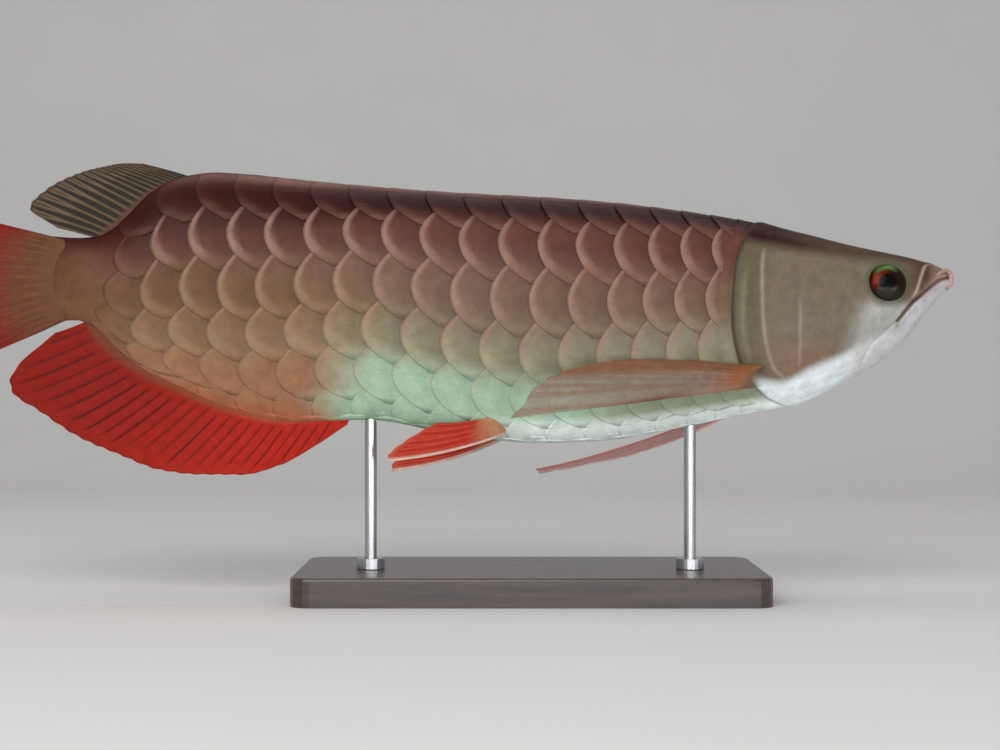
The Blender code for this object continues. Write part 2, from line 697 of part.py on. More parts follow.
def add_head(collection, cutters):
    head = add_object("head", loft("head", head_rings()), collection, "skin_dark")
    added = raised_plates(cutters)
    sockets = []
    for _, side in SIDES:
        nose = tube("nose", to_side(NOSE_TUBE, side), NOSE_RADII, NOSE_STEPS)
        added.append(add_cutter("nose", nose, cutters))
        place = (EYE[0], EYE[1] * side, EYE[2])
        room = ball("socket", EYE_RADIUS + GAP, EYE_FLATNESS, place)
        sockets.append(add_cutter("socket", room, cutters))
    boolean(head, "UNION", added)
    boolean(head, "DIFFERENCE", sockets)
    jaw = add_object("lower_jaw", head.data.copy(), collection, "jaw_white")
    boolean(jaw, "INTERSECT", [add_cutter("jaw_block", below_mouth("jaw_block", GAP / 2), cutters)])
    boolean(head, "DIFFERENCE", [add_cutter("jaw_room", below_mouth("jaw_room", -GAP / 2), cutters)])
    clear_rings = [points + (GAP, 0, 0) for points in head_rings(GAP)]
    snout_room = add_cutter("snout_room", loft("snout_room", clear_rings), cutters)
    for name, side in SIDES:
        eye = ball("eye_" + name, EYE_RADIUS, EYE_FLATNESS, (EYE[0], EYE[1] * side, EYE[2]))
        add_object("eye_" + name, eye, collection, "eye_red")
        barbel = tube("barbel_" + name, to_side(BARBEL_PATH, side), BARBEL_RADII, BARBEL_STEPS)
        barbel = add_object("barbel_" + name, barbel, collection, "barbel_pink")
        boolean(barbel, "DIFFERENCE", [snout_room])


# Stand

BASE_LENGTH = 230 * MM
BASE_WIDTH = 116 * MM
BASE_HEIGHT = 14 * MM
BASE_CORNER = 10 * MM
BASE_EDGE = 1.5 * MM
BASE_CORNER_STEPS = 5
BASE_EDGE_STEPS = 2
ROD_RADIUS = 3 * MM
ROD_SIDES = 24
ROD_OVERRUN = 6 * MM            # a rod is cut from a bar that runs this far into the body
ROD_PLACES = {"stand_rod_front": 79 * MM, "stand_rod_rear": -79 * MM}
COLLAR_RADIUS = 7 * MM
COLLAR_HEIGHT = 5 * MM


def banked_belly(x):
    """Row y and z of the belly line at row x."""
    fish_x = x - FISH_FORWARD
    point = PLACE @ Vector((fish_x, 0, float(belly_height(fish_x))))
    return point.y, point.z


def cylinder(name, radius, bottom, top, x, y):
    work = bmesh.new()
    bmesh.ops.create_cone(work, cap_ends=True, segments=ROD_SIDES, radius1=radius, radius2=radius,
                          depth=top - bottom)
    bmesh.ops.translate(work, verts=work.verts, vec=(x, y, (top + bottom) / 2))
    mesh = bpy.data.meshes.new(name)
    work.to_mesh(mesh)
    work.free()
    return mesh


def base_mesh():
    """A flat block with rounded upright corners and a small bevel round its top."""
    work = bmesh.new()
    bmesh.ops.create_cube(work, size=1)
    bmesh.ops.scale(work, verts=work.verts, vec=(BASE_LENGTH, BASE_WIDTH, BASE_HEIGHT))
    bmesh.ops.translate(work, verts=work.verts, vec=(0, 0, BASE_HEIGHT / 2))
    upright = [e for e in work.edges if abs(e.verts[0].co.z - e.verts[1].co.z) > BASE_HEIGHT / 2]
    bmesh.ops.bevel(work, geom=upright, offset=BASE_CORNER, segments=BASE_CORNER_STEPS,
                    affect="EDGES", profile=0.5)
    rim = [e for e in work.edges if min(v.co.z for v in e.verts) > BASE_HEIGHT * 0.99]
    bmesh.ops.bevel(work, geom=rim, offset=BASE_EDGE, segments=BASE_EDGE_STEPS,
                    affect="EDGES", profile=0.5)
    mesh = bpy.data.meshes.new("stand_base")
    work.to_mesh(mesh)
    work.free()
    return mesh


def add_stand(collection, cutters, body_cutter):
    add_object("stand_base", base_mesh(), collection, "stand_black")
    foot = BASE_HEIGHT + GAP
    for name, x in ROD_PLACES.items():
        y, z = banked_belly(x)
        bar = cylinder(name, ROD_RADIUS, foot, z + ROD_OVERRUN, x, y)
        rod = add_object(name, bar, collection, "rod_steel")
        collar = cylinder("collar", COLLAR_RADIUS, foot, foot + COLLAR_HEIGHT, x, y)
        boolean(rod, "UNION", [add_cutter("collar", collar, cutters)])
        boolean(rod, "DIFFERENCE", [body_cutter])


def main():
    clear_scene()
    collection = new_collection("asian_arowana")
    cutters = new_collection("cutters")
    body_cutter = add_cutter("body_cutter", whole_body("body_cutter", CUT_GAP), cutters)
    add_object("trunk", loft("trunk", trunk_rings()), collection, "skin_scales")
    add_object("tail_stalk", loft("tail_stalk", tail_rings()), collection, "skin_scales")
    add_head(collection, cutters)
    add_fins(collection, body_cutter)
    for obj in list(collection.objects):
        obj.matrix_world = PLACE
    body_cutter.matrix_world = PLACE
    bpy.context.view_layer.update()
    add_stand(collection, cutters, body_cutter)
    for obj in list(cutters.objects):
        bpy.data.objects.remove(obj)


main()
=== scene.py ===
"""The looks of a life-size Asian arowana on its display stand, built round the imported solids.

Sizes of the fish are millimetres in its own frame: x forward, y to its left, z up from the axis
that it is banked about. Placing.row turns them into metres in the row frame. A place on the skin
is a distance x along the body and a turn round it: 0 on the belly's midline, 1 on the back's,
positive up the left side and negative up the right.
"""

import logging
import math
from dataclasses import dataclass, field
from enum import Enum

import bpy
import numpy as np
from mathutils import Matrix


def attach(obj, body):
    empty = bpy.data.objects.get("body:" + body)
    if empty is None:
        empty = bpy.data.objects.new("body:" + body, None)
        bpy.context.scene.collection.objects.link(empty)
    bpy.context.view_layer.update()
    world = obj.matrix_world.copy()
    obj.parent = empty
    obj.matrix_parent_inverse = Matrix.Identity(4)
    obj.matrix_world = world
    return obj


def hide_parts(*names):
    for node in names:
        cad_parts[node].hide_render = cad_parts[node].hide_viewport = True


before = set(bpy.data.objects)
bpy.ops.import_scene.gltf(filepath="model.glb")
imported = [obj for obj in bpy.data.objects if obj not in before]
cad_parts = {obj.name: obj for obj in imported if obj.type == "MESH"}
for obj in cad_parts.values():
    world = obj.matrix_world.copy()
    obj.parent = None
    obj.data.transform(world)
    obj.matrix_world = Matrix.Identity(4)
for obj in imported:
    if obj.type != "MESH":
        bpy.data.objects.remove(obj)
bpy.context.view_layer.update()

MM = 0.001
LOG = logging.getLogger("arowana")
Array = np.ndarray
Points = tuple[tuple[float, float, float], ...]
Outline = tuple[tuple[float, float], ...]
Colour = tuple[float, float, float]


class Side(Enum):
    """A side of the fish, with the sign of its y."""

    LEFT = 1
    RIGHT = -1

    @property
    def word(self) -> str:
        """The side's name as the nodes spell it."""
        return self.name.lower()


# Small formulas

def srgb(red: int, green: int, blue: int) -> Colour:
    """The linear colour of screen values from 0 to 255."""
    parts = (red / 255, green / 255, blue / 255)
    return tuple(c / 12.92 if c <= 0.04045 else ((c + 0.055) / 1.055) ** 2.4 for c in parts)


def step(low: float, high: float, value: Array) -> Array:
    """Zero below low, one above high, and an S between them (also where high is the lower)."""
    part = np.clip((np.asarray(value, float) - low) / (high - low), 0, 1)
    return part * part * (3 - 2 * part)


def bell(distance: Array, width: float) -> Array:
    """One at distance 0, falling off as a normal curve of that width."""
    return np.exp(-(np.asarray(distance, float) / width) ** 2)


def mix(one: Array, two: Array, share: Array) -> Array:
    """Colours one and two mixed, where share 0 keeps the first."""
    part = np.clip(np.asarray(share, float), 0, 1)[..., None]
    return np.asarray(one) * (1 - part) + np.asarray(two) * part


def unit(vectors: Array) -> Array:
    """The vectors at length one."""
    return vectors / (np.linalg.norm(vectors, axis=-1, keepdims=True) + 1e-12)


@dataclass(frozen=True)
class Curve:
    """A smooth curve through a few knots of (x, value), which never overshoots them."""

    knots: Outline

    def __call__(self, x: Array) -> Array:
        """Cubic pieces with the harmonic mean of neighbouring slopes at each knot.

        Args:
            x: places along the curve, held to the first and last knot.

        Returns:
            The curve's values there.
        """
        table = np.array(sorted(self.knots), float)
        return smooth(x, table[:, 0], table[:, 1])


def smooth(x: Array, xs: Array, ys: Array) -> Array:
    """The monotone cubic through (xs, ys), with xs in rising order.

    Args:
        x: where it is wanted.
        xs: the knots' places.
        ys: the knots' values.

    Returns:
        Its values at x.
    """
    steps = np.diff(xs)
    slopes = np.diff(ys) / steps
    tangents = np.zeros(len(xs))
    same_way = slopes[:-1] * slopes[1:] > 0
    weight_a = 2 * steps[1:] + steps[:-1]
    weight_b = steps[1:] + 2 * steps[:-1]
    safe = np.where(slopes == 0, 1, slopes)
    inner = (weight_a + weight_b) / (weight_a / safe[:-1] + weight_b / safe[1:])
    tangents[1:-1] = np.where(same_way, inner, 0)
    tangents[0], tangents[-1] = slopes[0], slopes[-1]
    x = np.clip(x, xs[0], xs[-1])
    k = np.clip(np.searchsorted(xs, x, side="right") - 1, 0, len(xs) - 2)
    t = (x - xs[k]) / steps[k]
    return (ys[k] * (1 + 2 * t) * (1 - t) ** 2 + steps[k] * tangents[k] * t * (1 - t) ** 2
            + ys[k + 1] * t ** 2 * (3 - 2 * t) - steps[k] * tangents[k + 1] * t ** 2 * (1 - t))


def along(points: Points, part: Array, places: tuple[float, ...] | None = None) -> Array:
    """Points at shares of the smooth curve through a few points.

    Args:
        points: the knots.
        part: shares from 0 to 1.
        places: the share at each knot, evenly spaced if left out.

    Returns:
        One point for each share.
    """
    table = np.array(points, float)
    at = np.linspace(0, 1, len(table)) if places is None else np.array(places)
    return np.stack([smooth(part, at, table[:, k]) for k in range(3)], axis=-1)


def rounded(outline: Outline, per_side: int = 6, closed: bool = True) -> Array:
    """An outline with its corners drawn as a Catmull-Rom curve.

    Args:
        outline: corner points.
        per_side: pieces that each side is split into.
        closed: whether the last corner joins the first.

    Returns:
        Points on the curve, of shape (n, 2).
    """
    p = np.array(outline, float)
    if not closed:
        p = np.concatenate([2 * p[:1] - p[1:2], p, 2 * p[-1:] - p[-2:-1]])
    before, after, last = np.roll(p, 1, 0), np.roll(p, -1, 0), np.roll(p, -2, 0)
    t = np.linspace(0, 1, per_side, endpoint=False)[None, :, None]
    a, b, c, d = (q[:, None, :] for q in (before, p, after, last))
    drawn = 0.5 * (2 * b + (c - a) * t + (2 * a - 5 * b + 4 * c - d) * t ** 2
                   + (3 * b - a - 3 * c + d) * t ** 3)
    if not closed:
        drawn = np.concatenate([drawn[1:-2].reshape(-1, 2), p[-2:-1]])
    return drawn.reshape(-1, 2)


def line_distance(x: Array, z: Array, line: Array) -> tuple[Array, Array]:
    """How far points lie from a line drawn on the side view, and on which side of it.

    Args:
        x: the points' x.
        z: the points' z.
        line: the line's points, of shape (n, 2).

    Returns:
        The distance to the nearest piece, and the same with a plus to the right of its direction.
    """
    start, way = line[:-1], np.diff(line, axis=0)
    length = (way ** 2).sum(axis=1) + 1e-12
    dx, dz = x[..., None] - start[:, 0], z[..., None] - start[:, 1]
    part = np.clip((dx * way[:, 0] + dz * way[:, 1]) / length, 0, 1)
    far = np.hypot(dx - part * way[:, 0], dz - part * way[:, 1])
    nearest = far.argmin(axis=-1)[..., None]
    turn = np.take_along_axis(way[:, 1] * dx - way[:, 0] * dz, nearest, axis=-1)[..., 0]
    distance = np.take_along_axis(far, nearest, axis=-1)[..., 0]
    return distance, np.copysign(distance, turn)


def inside_distance(x: Array, z: Array, ring: Array) -> Array:
    """Distance from a closed outline, positive inside: even-odd crossings give the sign."""
    closed = np.concatenate([ring, ring[:1]])
    distance = line_distance(x, z, closed)[0]
    a, b = closed[:-1], closed[1:]
    above = (a[:, 1] > z[..., None]) != (b[:, 1] > z[..., None])
    rise = np.where(b[:, 1] == a[:, 1], 1e-12, b[:, 1] - a[:, 1])
    cross = x[..., None] < a[:, 0] + (z[..., None] - a[:, 1]) * (b[:, 0] - a[:, 0]) / rise
    odd = (above & cross).sum(axis=-1) % 2 == 1
    return np.where(odd, distance, -distance)


@dataclass(frozen=True)
class Placing:
    """How the fish's own frame sits in the row frame: banked about x, raised and set forward."""

    forward: float = 9.0
    axis_height: float = 140.0
    bank: float = math.radians(-10)

    def row(self, points: Array) -> Array:
        """The row frame's metres for points in the fish's millimetres."""
        cosine, sine = math.cos(self.bank), math.sin(self.bank)
        x, y, z = np.moveaxis(np.asarray(points, float), -1, 0)
        turned = [x + self.forward, y * cosine - z * sine, y * sine + z * cosine + self.axis_height]
        return np.stack(turned, axis=-1) * MM


PLACING = Placing()


# Meshes

@dataclass
class Shape:
    """A mesh in the making: points in the fish's millimetres, faces, and what the finish reads."""

    points: Array
    quads: Array
    triangles: Array = field(default_factory=lambda: np.zeros((0, 3), int))
    colours: dict[str, Array] = field(default_factory=dict)
    values: dict[str, Array] = field(default_factory=dict)
    maps: dict[str, Array] = field(default_factory=dict)

    def build(self, name: str, place: bool = True) -> bpy.types.Object:
        """Writes the arrays into a mesh object at the origin.

        Args:
            name: the piece's name.
            place: whether the points are the fish's and have to be placed in the row frame.

        Returns:
            The object, smooth shaded and linked to the scene.
        """
        mesh = bpy.data.meshes.new(name)
        points = PLACING.row(self.points) if place else self.points
        quads, triangles = self.quads.reshape(-1, 4), self.triangles.reshape(-1, 3)
        corners = np.concatenate([quads.ravel(), triangles.ravel()]).astype(np.int32)
        sizes = np.concatenate([np.full(len(quads), 4), np.full(len(triangles), 3)])
        starts = np.concatenate([[0], np.cumsum(sizes)[:-1]]).astype(np.int32)
        mesh.vertices.add(len(points))
        mesh.vertices.foreach_set("co", points.astype(np.float32).ravel())
        mesh.loops.add(len(corners))
        mesh.loops.foreach_set("vertex_index", corners)
        mesh.polygons.add(len(starts))
        mesh.polygons.foreach_set("loop_start", starts)
        mesh.update(calc_edges=True)
        mesh.validate()
        for key, value in self.maps.items():
            spots = value if len(value) == len(corners) else value[corners]
            mesh.uv_layers.new(name=key).uv.foreach_set("vector", spots.astype(np.float32).ravel())
        for key, value in self.colours.items():
            tint = np.concatenate([value, np.ones((len(value), 1))], axis=1).astype(np.float32)
            mesh.attributes.new(key, "FLOAT_COLOR", "POINT").data.foreach_set("color", tint.ravel())
        for key, value in self.values.items():
            mesh.attributes.new(key, "FLOAT", "POINT").data.foreach_set("value", value.astype(np.float32))
        mesh.shade_smooth()
        obj = bpy.data.objects.new(name, mesh)
        bpy.context.scene.collection.objects.link(obj)
        return obj


def grid_quads(rows: int, columns: int, ring: bool = False) -> Array:
    """Faces of a grid of points numbered row by row.

    Args:
        rows: points along the first way.
        columns: points along the second.
        ring: whether the last column joins the first.

    Returns:
        Quads of shape (faces, 4), turned so that rows cross columns points outwards.
    """
    i = np.arange(rows - 1)[:, None]
    j = np.arange(columns if ring else columns - 1)[None, :]
    nxt = (j + 1) % columns
    here, there = i * columns, (i + 1) * columns
    faces = np.stack(np.broadcast_arrays(here + j, there + j, there + nxt, here + nxt), axis=-1)
    return faces.reshape(-1, 4)


def end_fans(rows: int, columns: int) -> Array:
    """Triangles that close both ends of a ring grid to two more points, numbered after it."""
    j = np.arange(columns)
    nxt = (j + 1) % columns
    count = rows * columns
    end = count - columns
    first = np.stack([j, nxt, np.full(columns, count)], axis=1)
    last = np.stack([end + nxt, end + j, np.full(columns, count + 1)], axis=1)
    return np.concatenate([first, last])


def border(rows: int, columns: int) -> Array:
    """The numbers of a grid's outer points, once round."""
    first = np.arange(rows) * columns
    last = (rows - 1) * columns + np.arange(1, columns)
    back = np.arange(rows - 2, -1, -1) * columns + columns - 1
    return np.concatenate([first, last, back, np.arange(columns - 2, 0, -1)])


def sheet_faces(rows: int, columns: int) -> Array:
    """Faces of the solid between two like grids of points, the second numbered after the first."""
    top = grid_quads(rows, columns)
    under = top[:, ::-1] + rows * columns
    rim = border(rows, columns)
    nxt = np.roll(rim, -1)
    wall = np.stack([nxt, rim, rim + rows * columns, nxt + rows * columns], axis=1)
    return np.concatenate([top, under, wall])


TUBE_SIDES = 20
NOT_ALONG = (0.0, 1.0, 0.31)    # a way that no tube of the fish runs


def tube(path: Array, radii: Array, around: int = TUBE_SIDES) -> Shape:
    """A closed tube: circles of the radii stand square to the path, with a fan over each end.

    Args:
        path: points of its middle line, of shape (n, 3).
        radii: the radius at each point.
        around: points in each circle.

    Returns:
        The shape.
    """
    way = unit(np.gradient(path, axis=0))
    across = unit(np.cross(way, NOT_ALONG))
    other = np.cross(way, across)
    angle = np.linspace(0, 2 * np.pi, around, endpoint=False)
    circle = across[:, None] * np.cos(angle)[:, None] + other[:, None] * np.sin(angle)[:, None]
    points = (path[:, None] + circle * radii[:, None, None]).reshape(-1, 3)
    return Shape(np.concatenate([points, path[:1], path[-1:]]),
                 grid_quads(len(path), around, ring=True), end_fans(len(path), around))


def outwards(obj: bpy.types.Object) -> None:
    """Turns a closed mesh inside out where its signed volume says that its faces point in."""
    mesh = obj.data
    mesh.calc_loop_triangles()
    co = np.zeros(len(mesh.vertices) * 3, np.float32)
    mesh.vertices.foreach_get("co", co)
    index = np.zeros(len(mesh.loop_triangles) * 3, np.int32)
    mesh.loop_triangles.foreach_get("vertices", index)
    a, b, c = np.moveaxis(co.reshape(-1, 3)[index.reshape(-1, 3)], 1, 0)
    if (a * np.cross(b, c)).sum() < 0:
        mesh.flip_normals()


def settle(obj: bpy.types.Object, slot: str, *nodes: str) -> bpy.types.Object:
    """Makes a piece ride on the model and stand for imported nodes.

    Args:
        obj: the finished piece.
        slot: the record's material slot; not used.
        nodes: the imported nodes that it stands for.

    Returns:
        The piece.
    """
    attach(obj, "root")
    if nodes:
        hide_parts(*nodes)
    LOG.info("%s: %d faces", obj.name, len(obj.data.polygons))
    return obj


# Finishes

class Nodes:
    """A material's node tree, with short words for the few nodes that the finishes use."""

    def __init__(self, name: str) -> None:
        """Starts an empty material with an output."""
        self.material = bpy.data.materials.new(name)
        self.material.use_nodes = True
        self.tree = self.material.node_tree
        self.tree.nodes.clear()
        self.out = self.tree.nodes.new("ShaderNodeOutputMaterial")

    def add(self, kind: str, inputs: dict | None = None, **settings: object) -> bpy.types.Node:
        """Adds a node.

        Args:
            kind: the node type after "ShaderNode".
            inputs: a value or an output socket for each input, by name or number.
            settings: the node's own properties.

        Returns:
            The node.
        """
        node = self.tree.nodes.new("ShaderNode" + kind)
        for key, value in settings.items():
            setattr(node, key, value)
        for key, value in (inputs or {}).items():
            if isinstance(value, bpy.types.NodeSocket):
                self.tree.links.new(value, node.inputs[key])
            else:
                node.inputs[key].default_value = value
        return node

    def place(self) -> bpy.types.NodeSocket:
        """The piece's Object coordinates."""
        return self.add("TexCoord").outputs["Object"]

    def colour(self, name: str) -> bpy.types.NodeSocket:
        """A colour attribute of the piece."""
        return self.add("Attribute", attribute_name=name).outputs["Color"]

    def value(self, name: str) -> bpy.types.NodeSocket:
        """A number attribute of the piece."""
        return self.add("Attribute", attribute_name=name).outputs["Fac"]

    def noise(self, size: float, detail: float = 3, place: bpy.types.NodeSocket | None = None,
              rough: float = 0.55) -> bpy.types.NodeSocket:
        """Noise whose lumps are about size millimetres across."""
        where = place or self.place()
        inputs = {"Vector": where, "Scale": 1 / (size * MM), "Detail": detail, "Roughness": rough}
        return self.add("TexNoise", inputs).outputs["Fac"]

    def spread(self, source: bpy.types.NodeSocket, low: float, high: float,
               to_low: float, to_high: float) -> bpy.types.NodeSocket:
        """A range of numbers carried to another, and held to its ends."""
        inputs = {"Value": source, "From Min": low, "From Max": high, "To Min": to_low, "To Max": to_high}
        return self.add("MapRange", inputs).outputs["Result"]

    def sum(self, one: object, two: object, how: str = "ADD") -> bpy.types.NodeSocket:
        """Two numbers or sockets put together by the named sum."""
        return self.add("Math", {0: one, 1: two}, operation=how).outputs[0]

    def blend(self, share: object, one: object, two: object, how: str = "MIX") -> bpy.types.NodeSocket:
        """Two colours blended, where share 0 keeps the first."""
        node = self.add("Mix", {0: share, 6: one, 7: two}, data_type="RGBA", blend_type=how)
        return node.outputs[2]

    def bump(self, height: bpy.types.NodeSocket, depth: float, strength: float = 1.0,
             before: bpy.types.NodeSocket | None = None) -> bpy.types.NodeSocket:
        """A bump of that depth in millimetres."""
        inputs = {"Height": height, "Strength": strength, "Distance": depth * MM}
        if before is not None:
            inputs["Normal"] = before
        return self.add("Bump", inputs).outputs["Normal"]

    def finish(self, shader: bpy.types.NodeSocket) -> bpy.types.Material:
        """Sends a shader to the output and returns the material."""
        self.tree.links.new(shader, self.out.inputs["Surface"])
        return self.material


@dataclass(frozen=True)
class WetSkin:
    """Fish skin: its painted markings, a fine mottle, pores and folds, under a thin wet gloss."""

    name: str = "wet_skin"
    roughness: float = 0.44
    mottle: float = 0.13
    pore_depth: float = 0.16

    def make(self) -> bpy.types.Material:
        """Builds the material from the piece's colour attribute "tint"."""
        n = Nodes(self.name)
        place = n.place()
        lumps = n.spread(n.noise(5.0, 4, place), 0.3, 0.7, 1 - self.mottle, 1 + self.mottle)
        specks = n.spread(n.noise(0.9, 2, place), 0.35, 0.65, 0.93, 1.05)
        shade = n.sum(lumps, specks, "MULTIPLY")
        tint = n.blend(1.0, n.colour("tint"), shade, "MULTIPLY")
        fine = n.add("TexVoronoi", {"Vector": place, "Scale": 1 / (0.8 * MM)}).outputs["Distance"]
        ridges = n.noise(2.2, 5, place)
        normal = n.bump(ridges, self.pore_depth, 0.5, n.bump(fine, self.pore_depth * 0.5, 0.35))
        gloss = n.spread(n.noise(7.0, 3, place), 0.3, 0.7, self.roughness - 0.07, self.roughness + 0.09)
        shader = n.add("BsdfPrincipled", {
            "Base Color": tint, "Roughness": gloss, "Normal": normal, "Coat Weight": 0.04,
            "Coat Roughness": 0.12, "Specular IOR Level": 0.12})
        return n.finish(shader.outputs[0])


@dataclass(frozen=True)
class PearlScale:
    """A scale: its painted markings, rays and growth rings as fine ridges, and a pearly gloss."""

    name: str = "pearl_scale"
    roughness: float = 0.42
    pearl: float = 0.08
    rings: float = 26.0
    rays: float = 15.0
    ridge_depth: float = 0.05

    def make(self) -> bpy.types.Material:
        """Builds the material from "tint" and the scale's own map, root to edge and across."""
        n = Nodes(self.name)
        place = n.place()
        lumps = n.spread(n.noise(6.0, 4, place), 0.3, 0.7, 0.88, 1.13)
        specks = n.spread(n.noise(0.7, 2, place), 0.35, 0.65, 0.92, 1.06)
        tint = n.blend(1.0, n.colour("tint"), n.sum(lumps, specks, "MULTIPLY"), "MULTIPLY")
        local = n.add("UVMap", uv_map="Scale").outputs["UV"]
        split = n.add("SeparateXYZ", {0: local})
        wander = n.spread(n.noise(3.5, 3, place), 0, 1, -1.2, 1.2)
        ring = n.sum(n.sum(split.outputs[0], self.rings * 2 * math.pi, "MULTIPLY"), wander)
        ray = n.sum(n.sum(split.outputs[1], self.rays * 2 * math.pi, "MULTIPLY"), wander)
        ring_wave = n.sum(ring, 0.0, "SINE")
        ray_wave = n.sum(ray, 0.0, "SINE")
        height = n.sum(n.sum(ring_wave, 0.35, "MULTIPLY"), n.sum(ray_wave, 0.5, "MULTIPLY"))
        normal = n.bump(height, self.ridge_depth, 0.30, n.bump(n.noise(1.4, 4, place), 0.2, 0.4))
        gloss = n.spread(n.noise(4.0, 3, place), 0.3, 0.7, self.roughness - 0.06, self.roughness + 0.08)
        shader = n.add("BsdfPrincipled", {
            "Base Color": tint, "Roughness": gloss, "Metallic": self.pearl, "Normal": normal,
            "Coat Weight": 0.05, "Coat Roughness": 0.12, "Specular IOR Level": 0.12})
        return n.finish(shader.outputs[0])


@dataclass(frozen=True)
class FinSkin:
    """A fin: a thin membrane that lets light through between darker or paler rays."""

    name: str
    glow: float = 0.30
    see_through: bool = False
    roughness: float = 0.42

    def make(self) -> bpy.types.Material:
        """Builds the material from "tint", "ray", and "clear" where it is see-through."""
        n = Nodes(self.name)
        place = n.place()
        lumps = n.spread(n.noise(4.0, 4, place), 0.3, 0.7, 0.88, 1.12)
        streaks = n.spread(n.noise(0.8, 2, place), 0.3, 0.7, 0.92, 1.06)
        tint = n.blend(1.0, n.colour("tint"), n.sum(lumps, streaks, "MULTIPLY"), "MULTIPLY")
        out = n.sum(n.value("out"), 2 * math.pi, "MULTIPLY")
        joints = n.sum(n.sum(out, 0.0, "SINE"), n.value("ray"), "MULTIPLY")
        normal = n.bump(joints, 0.10, 0.35, n.bump(n.noise(1.0, 3, place), 0.14, 0.4))
        shader = n.add("BsdfPrincipled", {
            "Base Color": tint, "Roughness": self.roughness, "Normal": normal,
            "Coat Weight": 0.03, "Coat Roughness": 0.2, "Specular IOR Level": 0.10}).outputs[0]
        glow = n.add("BsdfTranslucent", {"Color": tint, "Normal": normal}).outputs[0]
        shader = n.add("MixShader", {0: self.glow, 1: shader, 2: glow}).outputs[0]
        if self.see_through:
            open_air = n.add("BsdfTransparent").outputs[0]
            shader = n.add("MixShader", {0: n.value("clear"), 1: shader, 2: open_air}).outputs[0]
        return n.finish(shader)


@dataclass(frozen=True)
class GlossyEye:
    """An eye's iris and pupil under the clear gloss of the cornea."""

    name: str = "glossy_eye"

    def make(self) -> bpy.types.Material:
        """Builds the material from "tint", with fine spokes in the iris by noise."""
        n = Nodes(self.name)
        specks = n.spread(n.noise(0.8, 4), 0.3, 0.7, 0.80, 1.15)
        tint = n.blend(1.0, n.colour("tint"), specks, "MULTIPLY")
        shader = n.add("BsdfPrincipled", {
            "Base Color": tint, "Roughness": 0.28, "Metallic": n.value("metal"),
            "Coat Weight": 0.10, "Coat Roughness": 0.03, "Coat IOR": 1.34, "Specular IOR Level": 0.08})
        return n.finish(shader.outputs[0])


@dataclass(frozen=True)
class StainedWood:
    """Dark stained close-grained wood under a satin lacquer, with its grain along x."""

    name: str = "stained_wood"
    dark: Colour = srgb(38, 30, 27)
    light: Colour = srgb(70, 54, 46)

    def make(self) -> bpy.types.Material:
        """Builds the grain from noise stretched along the board."""
        n = Nodes(self.name)
        long_way = n.add("Mapping", {"Vector": n.place(), "Scale": (0.06, 1.0, 1.0)}).outputs[0]
        grain = n.noise(3.0, 6, long_way, 0.6)
        pores = n.noise(0.6, 3, long_way, 0.7)
        share = n.spread(n.sum(grain, n.sum(pores, 0.35, "MULTIPLY")), 0.45, 0.85, 0.0, 1.0)
        tint = n.blend(share, (*self.dark, 1), (*self.light, 1))
        gloss = n.spread(pores, 0.3, 0.7, 0.30, 0.42)
        normal = n.bump(pores, 0.08, 0.35)
        shader = n.add("BsdfPrincipled", {
            "Base Color": tint, "Roughness": gloss, "Normal": normal,
            "Coat Weight": 0.3, "Coat Roughness": 0.22})
        return n.finish(shader.outputs[0])


@dataclass(frozen=True)
class BrushedSteel:
    """Steel rod, brushed round and round."""

    name: str = "brushed_steel"

    def make(self) -> bpy.types.Material:
        """Builds the brushing from noise pressed together along the rod."""
        n = Nodes(self.name)
        flat = n.add("Mapping", {"Vector": n.place(), "Scale": (0.15, 0.15, 1.0)}).outputs[0]
        lines = n.noise(0.35, 3, flat, 0.6)
        tint = n.blend(lines, (*srgb(170, 170, 172), 1), (*srgb(196, 196, 198), 1))
        shader = n.add("BsdfPrincipled", {
            "Base Color": tint, "Metallic": 1.0, "Roughness": n.spread(lines, 0.3, 0.7, 0.26, 0.34),
            "Normal": n.bump(lines, 0.01, 0.2)})
        return n.finish(shader.outputs[0])


@dataclass(frozen=True)
class StudioPaper:
    """The pale matt paper of the floor and backdrop."""

    name: str = "studio_paper"
    pale: Colour = srgb(226, 224, 221)

    def make(self) -> bpy.types.Material:
        """Builds a faintly uneven matt surface."""
        n = Nodes(self.name)
        shade = n.spread(n.noise(120.0, 2), 0.3, 0.7, 0.985, 1.01)
        tint = n.blend(1.0, (*self.pale, 1), shade, "MULTIPLY")
        shader = n.add("BsdfPrincipled", {"Base Color": tint, "Roughness": 0.85})
        return n.finish(shader.outputs[0])


def wear(obj: bpy.types.Object, material: bpy.types.Material) -> None:
    """Gives a piece its one material."""
    obj.data.materials.clear()
    obj.data.materials.append(material)


# The fish's form

@dataclass(frozen=True)
class Station:
    """One upright section of the body: its x, its back and belly heights, half its width, the
    height of its widest place as a share, and how square it is above and below that."""

    x: float
    back: float
    belly: float
    half: float
    widest: float
    above: float
    below: float


